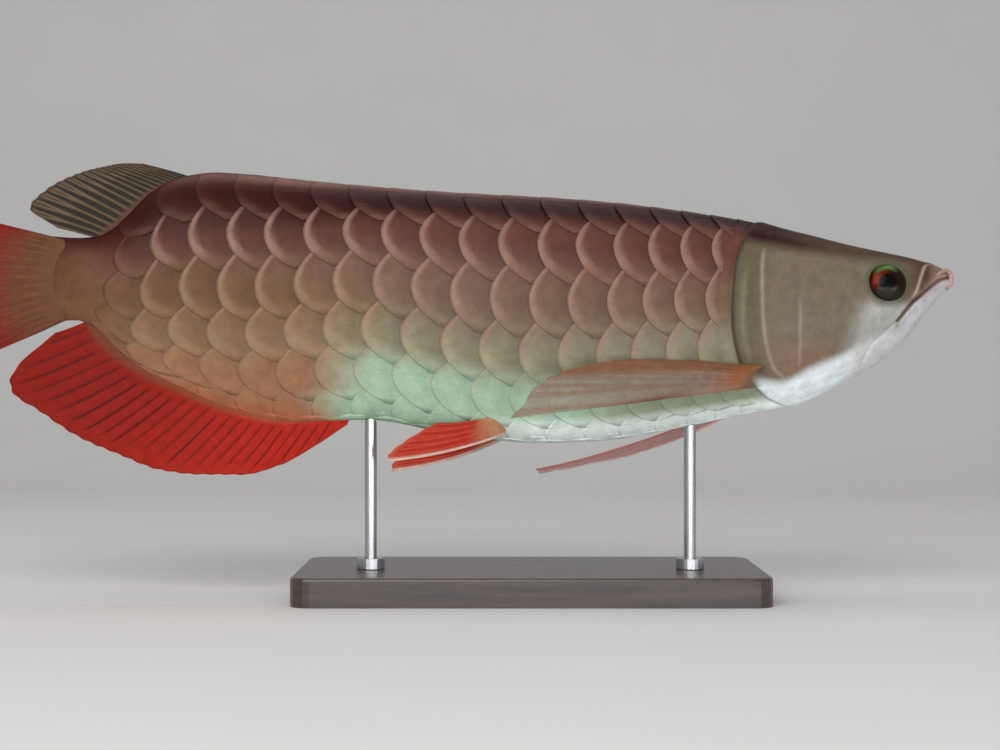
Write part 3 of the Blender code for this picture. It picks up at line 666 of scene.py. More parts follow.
STATIONS = (
    Station(202.0, 18.5, 16.5, 1.0, 0.50, 2.0, 2.0),
    Station(199.5, 22.0, 12.5, 4.0, 0.55, 2.2, 2.0),
    Station(195.0, 24.6, 8.5, 7.0, 0.60, 2.5, 1.9),
    Station(188.0, 26.4, 0.0, 11.0, 0.62, 2.8, 1.9),
    Station(180.0, 28.3, -10.5, 14.5, 0.64, 3.0, 1.8),
    Station(167.0, 30.6, -22.5, 18.4, 0.66, 3.2, 1.8),
    Station(150.0, 34.2, -33.0, 21.5, 0.66, 3.1, 1.8),
    Station(125.0, 41.0, -45.0, 24.5, 0.62, 2.8, 1.8),
    Station(100.0, 47.0, -49.5, 26.3, 0.58, 2.5, 1.8),
    Station(65.0, 53.0, -57.0, 27.4, 0.56, 2.3, 1.8),
    Station(25.0, 58.0, -63.5, 27.6, 0.55, 2.2, 1.8),
    Station(-5.0, 60.2, -64.5, 27.4, 0.54, 2.2, 1.8),
    Station(-45.0, 62.5, -60.5, 26.4, 0.54, 2.1, 1.7),
    Station(-90.0, 66.0, -53.0, 24.0, 0.54, 2.1, 1.6),
    Station(-125.0, 69.5, -54.5, 21.0, 0.55, 2.0, 1.5),
    Station(-150.0, 72.3, -50.0, 18.4, 0.57, 2.0, 1.45),
    Station(-168.0, 73.4, -43.5, 16.4, 0.58, 2.0, 1.45),
    Station(-184.0, 71.5, -36.5, 14.4, 0.58, 1.9, 1.45),
    Station(-200.0, 63.5, -29.0, 12.4, 0.56, 1.9, 1.5),
    Station(-214.0, 49.0, -19.0, 10.6, 0.53, 1.9, 1.6),
    Station(-226.0, 41.0, -7.5, 8.8, 0.50, 1.9, 1.8),
    Station(-236.0, 40.0, -3.0, 7.0, 0.50, 1.9, 1.9),
    Station(-250.0, 41.0, -5.0, 2.6, 0.50, 2.0, 2.0),
)


class BodyForm:
    """The bare body: each upright section is two half superellipses that meet at its widest
    place, and a place is a distance along the body and an even turn round the section."""

    NOSE = 202.0
    END = -250.0
    SPACING = 0.5
    SAMPLES = 181
    SHARES = 241

    def __init__(self) -> None:
        """Works out, for sections half a millimetre apart, the angle at each share of the girth."""
        rising = sorted(STATIONS, key=lambda s: s.x)
        self.xs = np.array([s.x for s in rising])
        names = ("back", "belly", "half", "widest", "above", "below")
        self.columns = {name: np.array([getattr(s, name) for s in rising]) for name in names}
        self.table_x = np.arange(self.END, self.NOSE + self.SPACING, self.SPACING)
        angles = np.linspace(-np.pi / 2, np.pi / 2, self.SAMPLES)
        y, z = self.section(self.table_x[:, None], angles[None, :])
        run = np.cumsum(np.hypot(np.diff(y, axis=1), np.diff(z, axis=1)), axis=1)
        run = np.concatenate([np.zeros((len(run), 1)), run], axis=1)
        self.table_girth = run[:, -1]
        shares = np.linspace(0, 1, self.SHARES)
        self.table = np.stack([np.interp(shares, row / row[-1], angles) for row in run])

    def at(self, name: str, x: Array) -> Array:
        """One named column of the stations at x."""
        return smooth(np.asarray(x, float), self.xs, self.columns[name])

    def section(self, x: Array, angle: Array) -> tuple[Array, Array]:
        """y is half the width by |cos| to the power 2/n, and z the rise above or below the widest
        place by |sin| to the same power, with n the squareness there."""
        back, belly, half = (self.at(name, x) for name in ("back", "belly", "half"))
        widest = belly + (back - belly) * self.at("widest", x)
        sine, cosine = np.sin(angle), np.clip(np.cos(angle), 0, 1)
        power = 2 / np.where(sine > 0, self.at("above", x), self.at("below", x))
        rise = np.where(sine > 0, back - widest, widest - belly)
        return half * cosine ** power, widest + rise * np.sign(sine) * np.abs(sine) ** power

    def girth(self, x: Array) -> Array:
        """Half the way round the section at x."""
        return np.interp(x, self.table_x, self.table_girth)

    def point(self, x: Array, turn: Array) -> Array:
        """The skin's point at x and a turn, where turns past the midlines run on round.

        Args:
            x: distances along the body.
            turn: turns round it.

        Returns:
            Points in the last axis.
        """
        x, turn = np.broadcast_arrays(np.asarray(x, float), np.asarray(turn, float))
        wrapped = (turn + 1) % 2 - 1
        i = np.clip((x - self.END) / self.SPACING, 0, len(self.table_x) - 1.001)
        j = np.clip(np.abs(wrapped) * (self.SHARES - 1), 0, self.SHARES - 1.001)
        i0, j0 = i.astype(int), j.astype(int)
        fi, fj = i - i0, j - j0
        near = self.table[i0, j0] * (1 - fj) + self.table[i0, j0 + 1] * fj
        far = self.table[i0 + 1, j0] * (1 - fj) + self.table[i0 + 1, j0 + 1] * fj
        y, z = self.section(x, near * (1 - fi) + far * fi)
        return np.stack([x, np.where(wrapped < 0, -y, y), z], axis=-1)

    def normal(self, x: Array, turn: Array) -> Array:
        """The way out of the skin: the cross of a small step round with a small step forward."""
        along_step, turn_step = 0.5, 0.004
        ahead = self.point(x + along_step, turn) - self.point(x - along_step, turn)
        around = self.point(x, turn + turn_step) - self.point(x, turn - turn_step)
        return unit(np.cross(around, ahead))


@dataclass(frozen=True)
class Lattice:
    """Where scales sit. Rows are counted from the row line, three up to the back's midline and
    three down to the belly's; columns run from the gill cover to the tail and lean tailwards."""

    rows: int = 3
    line: Curve = Curve(((-250, 0.30), (-230, 0.30), (-180, 0.36), (-100, 0.46), (0, 0.44), (200, 0.44)))
    height: Curve = Curve(((-250, 13), (-200, 20), (-100, 23), (-25, 26), (80, 24)))
    length: Curve = Curve(((-262, 9), (-245, 12.5), (-205, 18.2), (-150, 19.3), (10, 19.0), (80, 14.8)))
    start: float = 74.0
    first: float = 128.0
    last: float = -238.0
    slant: float = 0.48
    slant_rows: float = 1.6
    crowding: float = 0.9
    table_rows: int = 61
    gill: Curve = Curve(((-3, 124), (-2, 106), (-1, 93), (0, 89), (1, 91), (2, 99), (3, 111)))

    def lean(self, row: Array) -> Array:
        """How far forward a row's scales stand from their column, in scale lengths."""
        return self.slant * np.tanh(row / self.slant_rows)

    def share(self, form: BodyForm, x: Array, row: Array) -> Array:
        """Share of the half girth at a row: rows keep their height near the row line and are
        pressed together towards the midlines where the body is low."""
        girth, line, height = form.girth(x), self.line(x), self.height(x)
        part = 1 - np.abs(row) / self.rows
        up = np.clip(self.rows * height / (girth * (1 - line)), 1, 2)
        down = np.clip(self.rows * height / (girth * line), 1, 2)
        return np.where(row >= 0, 1 - (1 - line) * part ** up, line * part ** down)

    def turn(self, form: BodyForm, x: Array, row: Array, side: Array) -> Array:
        """The turn at a row on a side, where rows past a midline run down the other side."""
        past = np.abs(row) > self.rows
        folded = np.where(past, np.sign(row) * (2 * self.rows - np.abs(row)), row)
        share = self.share(form, x, folded)
        return side * np.where(past, np.where(row > 0, 2 - share, -share), share)

    def row_at(self, form: BodyForm, x: Array, turn: Array) -> Array:
        """The row at a turn, from a table of rows laid over the share at each place."""
        rows = np.linspace(-self.rows, self.rows, self.table_rows)
        share = np.abs((np.asarray(turn, float) + 1) % 2 - 1)
        spots = np.stack([self.share(form, np.asarray(x, float), np.full(np.shape(x), r)) for r in rows])
        k = np.clip((spots <= share).sum(axis=0) - 1, 0, len(rows) - 2)
        low = np.take_along_axis(spots, k[None], 0)[0]
        high = np.take_along_axis(spots, k[None] + 1, 0)[0]
        return rows[k] + (rows[1] - rows[0]) * np.clip((share - low) / (high - low + 1e-9), 0, 1)

    def columns(self) -> list[float]:
        """The x of each column on the row line, a scale's length apart both ways from the start."""
        ahead, behind = [self.start], [self.start]
        while ahead[-1] < self.first:
            ahead.append(ahead[-1] + float(self.length(ahead[-1])) * self.crowding)
        while behind[-1] > self.last:
            behind.append(behind[-1] - float(self.length(behind[-1])))
        return ahead[:0:-1] + behind[:-1]


FORM = BodyForm()
LATTICE = Lattice()


@dataclass(frozen=True)
class Markings:
    """The fish's colours by their place on the body, the same for its skin and its scales."""

    # ridge: a painted highlight, the paler band where light from above falls on the back's ridge
    ridge: Colour = srgb(142, 100, 92)
    back: Colour = srgb(44, 12, 8)
    back_rear: Colour = srgb(56, 16, 10)
    upper: Colour = srgb(96, 58, 48)
    upper_rear: Colour = srgb(84, 42, 28)
    middle: Colour = srgb(110, 84, 66)
    middle_rear: Colour = srgb(108, 76, 54)
    lower: Colour = srgb(124, 118, 92)
    lower_rear: Colour = srgb(132, 101, 72)
    mint: Colour = srgb(160, 188, 162)
    shoulder: Colour = srgb(128, 124, 100)
    tan: Colour = srgb(146, 104, 76)
    tail: Colour = srgb(102, 62, 42)
    belly: Colour = srgb(236, 246, 240)
    sheath: Colour = srgb(168, 92, 62)
    rim_upper: Colour = srgb(138, 103, 90)
    rim_middle: Colour = srgb(136, 109, 90)
    rim_lower: Colour = srgb(150, 150, 120)
    rim_rear: Colour = srgb(140, 108, 82)
    crown: Colour = srgb(72, 54, 40)
    cheek: Colour = srgb(109, 98, 80)
    cover: Colour = srgb(94, 86, 64)
    blush: Colour = srgb(130, 100, 84)
    snout: Colour = srgb(82, 58, 45)
    under_eye: Colour = srgb(160, 160, 154)
    jaw: Colour = srgb(196, 194, 196)
    throat: Colour = srgb(214, 224, 224)
    lip: Colour = srgb(158, 132, 122)
    # dark: painted shade, under the gill cover's edge and in the eye's socket
    dark: Colour = srgb(48, 38, 30)
    # the mouth's line, dark with painted shade in its crease
    mouth_crease_shade: Colour = srgb(72, 46, 38)
    jaw_bone_line: Colour = srgb(176, 152, 136)
    cover_line: Colour = srgb(164, 146, 124)
    cheek_line: Colour = srgb(158, 152, 134)
    # painted shade: a dark soft ring on the skin round the eye
    eye_ring: Colour = srgb(70, 78, 62)

    def ground(self, x: Array, row: Array) -> Array:
        """The body's colour away from scale rims: bands from back to belly that fade into one
        another, warmer to the rear, mint on the lower flank and white along the belly, with a
        painted highlight along the ridge of the back."""
        rear = step(-40, -150, x)
        front = step(0, 50, x)
        back = mix(self.back, self.back_rear, rear)
        upper = mix(self.upper, self.upper_rear, rear)
        middle = mix(self.middle, self.middle_rear, rear)
        lower = mix(mix(self.lower, self.lower_rear, step(-70, -125, x)), self.shoulder, front)
        mint = mix(mix(self.mint, self.tan, step(-80, -122, x)), self.shoulder, 0.7 * front)
        belly = mix(mix(self.mint, self.belly, step(-45, 0, x)), self.tan, step(-95, -128, x))
        made = mix(belly, mint, step(-2.35, -1.9, row))
        made = mix(made, lower, step(-1.55, -0.75, row))
        made = mix(made, middle, step(-0.75, 0.35, row))
        made = mix(made, upper, step(0.45, 1.35, row))
        made = mix(made, back, step(1.70 - 0.45 * rear, 2.25 - 0.4 * rear, row))
        # painted highlight along the ridge of the back
        made = mix(made, self.ridge, 0.85 * step(2.42, 2.78, row) * step(-215, -120, x))
        made = mix(made, self.sheath, 0.8 * step(-2.1, -3.0, row) * step(-100, -118, x))
        return mix(made, self.tail, 0.8 * step(-195, -240, x) * step(2.6, 1.2, row))

    def rim(self, x: Array, row: Array) -> Array:
        """The colour of the scales' pale free edges by place, merging with the ground on the
        dark back, on the belly and at the tail."""
        made = mix(self.rim_lower, self.rim_middle, step(-1.2, -0.2, row))
        made = mix(made, self.rim_upper, step(0.4, 1.2, row))
        made = mix(made, self.rim_rear, 0.75 * step(-60, -130, x) * step(1.2, 0.2, row))
        faint = np.maximum(step(1.75, 2.15, row), step(-0.8, -1.7, row))
        faint = np.maximum(faint, step(-185, -222, x))
        faint = np.maximum(faint, 0.8 * step(-130, -170, x) * step(-0.4, -1.4, row))
        return mix(made, self.ground(x, row), 0.95 * faint)


MARKINGS = Markings()


# Head and skin

@dataclass(frozen=True)
class EyePlace:
    """The eye's centre, its radius, how flat the ball is, and half the width of its lidless rim."""

    x: float = 166.5
    y: float = 14.7
    z: float = 12.6
    radius: float = 10.2
    flatness: float = 0.62
    showing: float = 8.9
    rim: float = 1.5


EYE = EyePlace()


@dataclass
class HeadRelief:
    """The head's bones and folds, as heights above the bare form drawn on its side view."""

    mouth: Outline = ((205, 20.5), (201, 18.6), (194.5, 16.2), (188.8, 11.7), (183, 6.5), (179, 3),
                      (172, -5.5))
    crease: Outline = ((172, -5.5), (164, -13), (158.4, -18.5), (155, -26), (153.5, -34))
    maxilla: Outline = ((193, 23.5), (187.5, 23), (184.5, 17), (181.5, 9), (178, 3.5), (171, -6.5),
                        (173, -7.5), (181, 2), (189, 9), (197, 14), (199, 19))
    operculum: Outline = ((109, 38), (104.5, 25), (103.5, 8), (104.5, -14), (110, -31), (120, -33),
                          (121.5, -10), (121.5, 20), (119, 36))
    cheek: Outline = ((124, 14), (124, -12), (127, -27), (138, -27), (150, -16), (151.5, -4), (146, 3),
                      (136, 10))
    brow: Outline = ((124, 17), (136, 13), (147, 6), (151.5, 1), (151, 12), (152, 24), (140, 28),
                     (125, 30))
    nostril: tuple[float, float] = (190.5, 23.5)
    gill_lift: float = 1.1

    def bone(self, x: Array, z: Array, outline: Outline, lift: float, soft: float = 1.6) -> Array:
        """A plate: its lift inside the outline, falling to nothing over a soft edge."""
        return lift * step(-soft * 0.4, soft, inside_distance(x, z, rounded(outline)))

    def height(self, x: Array, z: Array, flank: Array) -> Array:
        """The sum of all forms of the head at places on its side view.

        Args:
            x: their x.
            z: their z.
            flank: one on the flanks, zero near the midlines.

        Returns:
            Heights in millimetres.
        """
        mouth, over = line_distance(x, z, rounded(self.mouth, closed=False))
        high = self.bone(x, z, self.maxilla, 0.55) * flank
        high = high + self.bone(x, z, self.operculum, 0.40, 2.6) * flank
        high = high + self.bone(x, z, self.cheek, 0.35, 2.4) * flank
        high = high + self.bone(x, z, self.brow, 0.30, 2.4) * flank
        lip = np.where(over < 0, 0.70 * bell(mouth - 1.9, 1.5), 0.30 * bell(mouth - 1.4, 1.0))
        high = high + lip - 1.0 * bell(mouth, 0.55)
        crease = line_distance(x, z, rounded(self.crease, closed=False))[0]
        high = high - 0.5 * bell(crease, 0.9) * flank
        far = np.hypot(x - EYE.x, z - EYE.z)
        socket = step(EYE.showing + 0.5, EYE.showing - 0.7, far)
        high = high * (1 - socket) + 0.55 * bell(far - EYE.showing - EYE.rim, EYE.rim) * flank
        high = high - 2.6 * socket * flank
        nostril = np.hypot(x - self.nostril[0], z - self.nostril[1])
        return high + 0.5 * bell(nostril, 2.2) * flank


class Skin:
    """The one skin of head, body and tail stalk: rings from the snout to the gill cover's edge,
    a lip there that stands over the shoulder, and rings on to the tail fin."""

    AROUND = 256
    HEAD_RINGS = 250
    BODY_RINGS = 70
    UNDER_SCALES = -0.45
    LIP_STEPS = np.array([0.15, 0.9, 2.2, 4.0])
    LIP_LIFTS = np.array([-0.7, -0.8, -0.3, 0.0])
    THROAT_LINE = Curve(((95, -33), (112, -36.5), (130, -29), (150, -20), (165, -12), (205, 5)))
    CROWN_LINE = Curve(((95, 33), (125, 27.5), (150, 24.5), (175, 23.5), (205, 23)))

    def __init__(self) -> None:
        """Lays out the grid of places: x by ring and turn, and the turn itself."""
        turn = np.linspace(0, 2, self.AROUND, endpoint=False)
        self.turn = np.where(turn > 1, turn - 2, turn)
        row_at_edge = LATTICE.row_at(FORM, np.full(self.AROUND, 95.0), self.turn)
        self.edge = LATTICE.gill(row_at_edge)
        self.relief = HeadRelief()

    def places(self) -> tuple[Array, Array]:
        """Rings of x by turn from the snout to the tail, and the lift of each place.

        Returns:
            x and lift, both of shape (rings, around).
        """
        s = np.linspace(1, 0, self.HEAD_RINGS)
        part = 0.72 * s + 0.28 * np.sin(s * np.pi / 2)
        head = self.edge + (FORM.NOSE - 0.05 - self.edge) * part[:, None]
        from_edge = head - self.edge
        lift = self.relief.gill_lift * np.clip(1 - from_edge / 22, 0, 1) ** 2
        lift = lift - 0.5 * bell(from_edge, 0.9)
        lip = self.edge - self.LIP_STEPS[:, None]
        lip_lift = self.LIP_LIFTS[:, None] + np.zeros_like(lip)
        t = np.linspace(0, 1, self.BODY_RINGS + 1)[1:]
        body = lip[-1] + (FORM.END + 0.05 - lip[-1]) * t[:, None]
        body_lift = np.broadcast_to(self.UNDER_SCALES * step(0, 0.03, t)[:, None], body.shape)
        return np.concatenate([head, lip, body]), np.concatenate([lift, lip_lift, body_lift])

    def throat_folds(self, x: Array, turn: Array) -> Array:
        """Four shallow folds under the gill cover and a groove between the jaw's two halves."""
        share = np.abs(turn)
        here = step(88, 100, x) * step(168, 150, x)
        folds = sum(bell(share - k * (0.045 + 0.0003 * (150 - x)), 0.008) for k in (1, 2, 3))
        groove = bell(share, 0.012) * step(100, 120, x) * step(200, 190, x)
        return -0.20 * folds * here - 0.6 * groove

    def tint(self, x: Array, z: Array, turn: Array, row: Array, ahead: Array, far: Array) -> Array:
        """The skin's colours: the body's markings, and the head's own ahead of the gill cover.

        Args:
            x: places along the body.
            z: their heights.
            turn: turns round it.
            row: rows of the scale lattice.
            ahead: distances ahead of the gill cover's edge.
            far: distances from the eye's centre on the side view.

        Returns:
            Linear colours.
        """
        m = MARKINGS
        share = np.abs(turn)
        head = mix(m.cover, m.cheek, step(8, 20, ahead))
        head = mix(head, m.snout, step(172, 186, x))
        head = mix(head, m.blush, 0.75 * bell(x - 124, 20) * step(-14, -22, z))
        bone = inside_distance(x, z, rounded(self.relief.maxilla))
        below_eye = step(142, 158, x - 0.35 * (z + 10)) * step(6.5, -1, z) * step(1.0, -0.8, bone)
        head = mix(head, m.under_eye, 0.92 * below_eye)
        pale = step(3.0, -3.0, z - self.THROAT_LINE(x))
        mouth, over = line_distance(x, z, rounded(self.relief.mouth, closed=False))
        pale = np.maximum(pale, step(0.3, 1.2, -over) * step(170, 174, x))
        under = mix(m.throat, m.jaw, step(135, 158, x))
        head = mix(head, under, pale)
        top = step(-4, 4, z - self.CROWN_LINE(x))
        brown = mix(m.back, m.crown, step(105, 150, x))
        head = mix(head, brown, top)
        # painted highlight along the top midline of the head
        head = mix(head, m.ridge, 0.55 * step(0.93, 0.985, share) * step(196, 180, x))
        head = mix(head, m.lip, 0.8 * bell(mouth, 2.6) * step(176, 192, x) * step(-3.5, -0.5, over))
        # painted shade along the mouth's crease
        head = mix(head, m.mouth_crease_shade, 0.65 * bell(mouth, 0.6))
        head = mix(head, m.lip, 0.65 * step(187, 195, x) * step(-0.5, 1.0, over))
        edge_line = bell(bone, 0.7) * step(1.2, 2.4, over) * step(25, 22, z) * step(197, 191, x)
        head = mix(head, m.jaw_bone_line, 0.8 * edge_line)
        cover = inside_distance(x, z, rounded(self.relief.operculum))
        rear_edge = bell(cover - 0.4, 0.9) * (x < 115) * step(30, 24, z)
        head = mix(head, m.cover_line, 0.55 * rear_edge)
        front_line = bell(x - 122.5, 0.9) * step(6, -2, z) * step(-32, -26, z)
        head = mix(head, m.cheek_line, 0.40 * front_line)
        stripe = bell(ahead - 5.0, 1.6) * step(24, 12, z) * step(-30, -20, z)
        head = mix(head, m.rim_lower, 0.25 * stripe)
        # painted shade under the gill cover's edge
        head = mix(head, m.dark, 0.7 * bell(ahead, 1.3) * step(-48, -38, z))
        # painted shade in a soft ring round the eye
        ring = bell(far - EYE.showing - 1.2, 1.7)
        head = mix(head, m.eye_ring, 0.55 * ring)
        # painted shade in the eye's socket round the ball
        head = mix(head, m.dark, step(EYE.showing + 0.4, EYE.showing - 0.8, far))
        return mix(m.ground(x, row), head, step(-0.8, 0.2, ahead))

    def build(self) -> bpy.types.Object:
        """Raises the rings from the bare form, adds the head's forms, and closes both ends."""
        x, lift = self.places()
        rings = len(x)
        turn = np.broadcast_to(self.turn, x.shape)
        base, normal = FORM.point(x, turn), FORM.normal(x, turn)
        flank = step(0.02, 0.10, np.abs(turn)) * step(0.98, 0.90, np.abs(turn))
        high = lift.copy()
        head = slice(0, self.HEAD_RINGS)
        high[head] += self.relief.height(base[head, :, 0], base[head, :, 2], flank[head])
        high += self.throat_folds(x, turn)
        points = base + normal * high[..., None]
        row = LATTICE.row_at(FORM, x, turn)
        far = np.hypot(base[..., 0] - EYE.x, base[..., 2] - EYE.z)
        far = np.where(flank > 0.3, far, 99.0)
        tint = self.tint(x, base[..., 2], turn, row, x - self.edge, far)
        all_points = np.concatenate([points.reshape(-1, 3), points[:1].mean(1), points[-1:].mean(1)])
        all_tint = np.concatenate([tint.reshape(-1, 3), tint[:1].mean(1), tint[-1:].mean(1)])
        shape = Shape(all_points, grid_quads(rings, self.AROUND, ring=True),
                      end_fans(rings, self.AROUND), colours={"tint": all_tint})
        shape.maps["OFBake"] = self.unwrap(rings)
        obj = shape.build("skin")
        outwards(obj)
        wear(obj, WetSkin().make())
        return settle(obj, "skin_head", "head", "lower_jaw", "trunk", "tail_stalk")

    def unwrap(self, rings: int) -> Array:
        """Corners of the skin laid flat: rings along u, turns along v, and a strip for each fan."""
        i, j = np.meshgrid(np.arange(rings - 1), np.arange(self.AROUND), indexing="ij")
        u = np.stack([i, i + 1, i + 1, i], axis=-1) / (rings - 1)
        v = np.stack([j, j, j + 1, j + 1], axis=-1) / self.AROUND
        margin, strip = 0.02, (0.005, 0.018)
        quads = np.stack([margin + (1 - 2 * margin) * u, v], axis=-1)
        low = np.arange(self.AROUND) / self.AROUND
        high = low + 1 / self.AROUND
        outer, inner = np.full_like(low, strip[1]), np.full_like(low, strip[0])
        middle = (low + high) / 2
        first = np.stack([np.stack(c, 1) for c in ((outer, low), (outer, high), (inner, middle))], 1)
        last = first[:, [1, 0, 2]] * (-1, 1) + (1, 0)
        return np.concatenate([part.reshape(-1, 2) for part in (quads, first, last)])


# Scales

@dataclass
class ScaleCoat:
    """The coat of big scales: each is a thin curved plate whose root is under the skin and whose
    round free edge stands over the next one tailwards and over the row below."""

    lengthwise: tuple[float, ...] = (0.0, 0.3, 0.52, 0.67, 0.79, 0.88, 0.95, 1.0)
    across: int = 11
    above: float = 0.60
    below: float = 0.80
    point: float = 1.04
    power: float = 1.8
    reach: float = 1.75
    root_depth: float = 0.75
    top: float = 0.72
    tilt: float = 0.24
    thickness: float = 0.28
    midline_half: float = 0.45
    first_showing: float = 4.0
    cover_depth: float = 1.4
    seed: int = 7

    def seats(self) -> dict[str, Array]:
        """Each scale's column x, length, row and side, in one array each, from the gill cover on.

        Returns:
            Arrays by name, one number for each scale.
        """
        found = []
        for x in LATTICE.columns():
            length = float(LATTICE.length(x))
            for row in (*np.arange(-2.5, 3.0), 3.0, -3.0):
                free = x + length * float(LATTICE.lean(row))
                if free > float(LATTICE.gill(row)) - self.first_showing:
                    continue
                sides = (1,) if abs(row) == LATTICE.rows else (1, -1)
                found += [(x, length, row, side) for side in sides]
        table = np.array(found)
        return dict(zip(("x", "length", "row", "side"), table.T))

    def surface(self, seats: dict[str, Array]) -> dict[str, Array]:
        """The upper faces of all scales. Each runs from its root to a free edge that bends forward
        as a power of the distance from its row's middle, and rises from below the skin to its top
        there; its lower side lies over the next row down, and all of it under the gill cover.

        Args:
            seats: the scales' places.

        Returns:
            x, row, turn, lift, the shares u and v, the offset from the row's middle in rows, the
            distance ahead of the free edge and the row's height there, of one shape.
        """
        u = np.array(self.lengthwise)[None, :, None]
        v = np.linspace(-1, 1, self.across)[None, None, :]
        x0, length, row0, side = (seats[k][:, None, None] for k in ("x", "length", "row", "side"))
        wobble = np.random.default_rng(self.seed).normal(0, 1, (3, len(seats["x"]), 1, 1))
        midline = np.abs(row0) == LATTICE.rows
        spread = np.where(midline, self.midline_half, np.where(v > 0, self.above, self.below))
        offset = spread * v * (0.80 + 0.20 * np.sin(np.pi * u / 2))
        row = row0 + offset
        lean = LATTICE.lean(np.where(midline, row0, row))
        far = np.abs(spread * v)
        bend = self.point * (1 + 0.05 * wobble[0]) * far ** self.power + 0.25 * step(0.5, 0.85, far)
        edge = x0 + length * (lean + bend) + 0.3 * wobble[1]
        root = x0 + length * (LATTICE.lean(row0) + self.reach)
        x = np.clip(root + (edge - root) * u, FORM.END + 0.3, FORM.NOSE - 10)
        turn = LATTICE.turn(FORM, x, row, side)
        local = FORM.girth(x) * np.abs(self.row_slope(x, row))
        small = np.clip(local / LATTICE.height(x), 0.2, 1) * np.clip(length / 17, 0.45, 1)
        small = small * self.relief(x, row)
        rise = self.top * (1 + 0.05 * wobble[2]) * u ** 1.2
        corner = np.where(midline, 0.45 * np.abs(v), 0.40 * step(-0.38, -0.82, offset) * u)
        lift = rise - self.root_depth * (1 - u) - corner
        over = np.where(midline, -0.04 * u, -self.tilt * offset * np.maximum(small, 0.30))
        lift = lift * small + over
        out_of_cover = step(1.0, 9.0, LATTICE.gill(np.clip(row, -3, 3)) - x)
        lift = lift * out_of_cover - self.cover_depth * (1 - out_of_cover)
        return {"x": x, "row": row, "turn": turn, "lift": lift,
                "u": u + 0 * row, "v": v + 0 * row, "offset": offset + 0 * row,
                "ahead": (root - edge) * (1 - u), "high": local}

    @staticmethod
    def relief(x: Array, row: Array) -> Array:
        """How strongly scales stand out by place: least on the belly, along the ridge of the back
        and on the tail stalk, where they lie flat in the skin."""
        low = 0.35 * step(0.2, -0.8, row) + 0.50 * step(-0.8, -1.8, row)
        high = 0.65 * step(2.2, 2.9, np.abs(row))
        return (1 - low) * (1 - high) * (1 - 0.8 * step(-185, -228, x))

    @staticmethod
    def row_slope(x: Array, row: Array) -> Array:
        """How much of the half girth one row takes at a place."""
        inner = np.clip(row, -2.8, 2.8)
        return (LATTICE.share(FORM, x, inner + 0.1) - LATTICE.share(FORM, x, inner - 0.1)) / 0.2

    def tint(self, seats: dict[str, Array], faces: dict[str, Array]) -> Array:
        """Each scale's colours: the body's ground, shaded ahead where the scale before it stands
        over it, and its pale free edge, which is narrow above and broadens downwards."""
        length = seats["length"][:, None, None]
        row, offset = faces["row"], faces["offset"]
        seen = np.clip(row, -LATTICE.rows, LATTICE.rows)
        ground, rim = MARKINGS.ground(faces["x"], seen), MARKINGS.rim(faces["x"], seen)
        lean = self.point * self.power * np.abs(offset) ** (self.power - 1) * length / faces["high"]
        inside = faces["ahead"] / np.sqrt(1 + lean ** 2)
        width = 1.5 + 2.6 * step(0.5, -0.1, offset) + 1.6 * step(-0.1, -0.6, offset)
        width = width * (1 + 0.5 * step(0.3, -1.2, row))
        pale = step(1.25 * width, 0.45 * width, inside) * (1 - 0.8 * step(-0.35, -0.65, offset))
        shade = 1 - 0.24 * step(0.35, 0.98, faces["ahead"] / length) * (1 - 0.7 * step(-1.1, -2.0, row))
        return mix(ground * shade[..., None], rim, pale)

    def build(self) -> list[bpy.types.Object]:
        """Makes the coat as one joined mesh for each side, the midline scales with the left."""
        seats = self.seats()
        pieces = []
        finish = PearlScale().make()
        for side in Side:
            mine = {k: value[seats["side"] == side.value] for k, value in seats.items()}
            pieces.append(self.coat(mine, side, finish))
        return pieces

    def coat(self, seats: dict[str, Array], side: Side, finish: bpy.types.Material) -> bpy.types.Object:
        """One side's scales as closed thin shells.

        Args:
            seats: the scales' places.
            side: which side they are on.
            finish: their material.

        Returns:
            The piece.
        """
        sheet = self.surface(seats)
        u, v = sheet["u"], sheet["v"]
        scales, rows, columns = u.shape
        normal = FORM.normal(sheet["x"], sheet["turn"])
        top = FORM.point(sheet["x"], sheet["turn"]) + normal * sheet["lift"][..., None]
        thick = self.thickness * (0.35 + 0.65 * (1 - v ** 2)) * (1.15 - 0.4 * u)
        under = top - normal * thick[..., None]
        points = np.stack([top, under], axis=1).reshape(-1, 3)
        faces = sheet_faces(rows, columns)
        offsets = np.arange(scales)[:, None, None] * (2 * rows * columns)
        quads = (faces[None] + offsets).reshape(-1, 4)
        tint = self.tint(seats, sheet)
        # the under faces take the tint at 0.8: painted shade under each plate
        both = np.stack([tint, tint * 0.8], axis=1).reshape(-1, 3)
        local = np.stack([u, (v + 1) / 2], axis=-1)
        local = np.stack([local, local], axis=1).reshape(-1, 2)
        shape = Shape(points, quads, colours={"tint": both})
        shape.maps["Scale"] = local
        shape.maps["OFBake"] = self.patches(seats, u, v)
        obj = shape.build("scales_" + side.word)
        outwards(obj)
        wear(obj, finish)
        return settle(obj, "scales", "trunk", "tail_stalk")

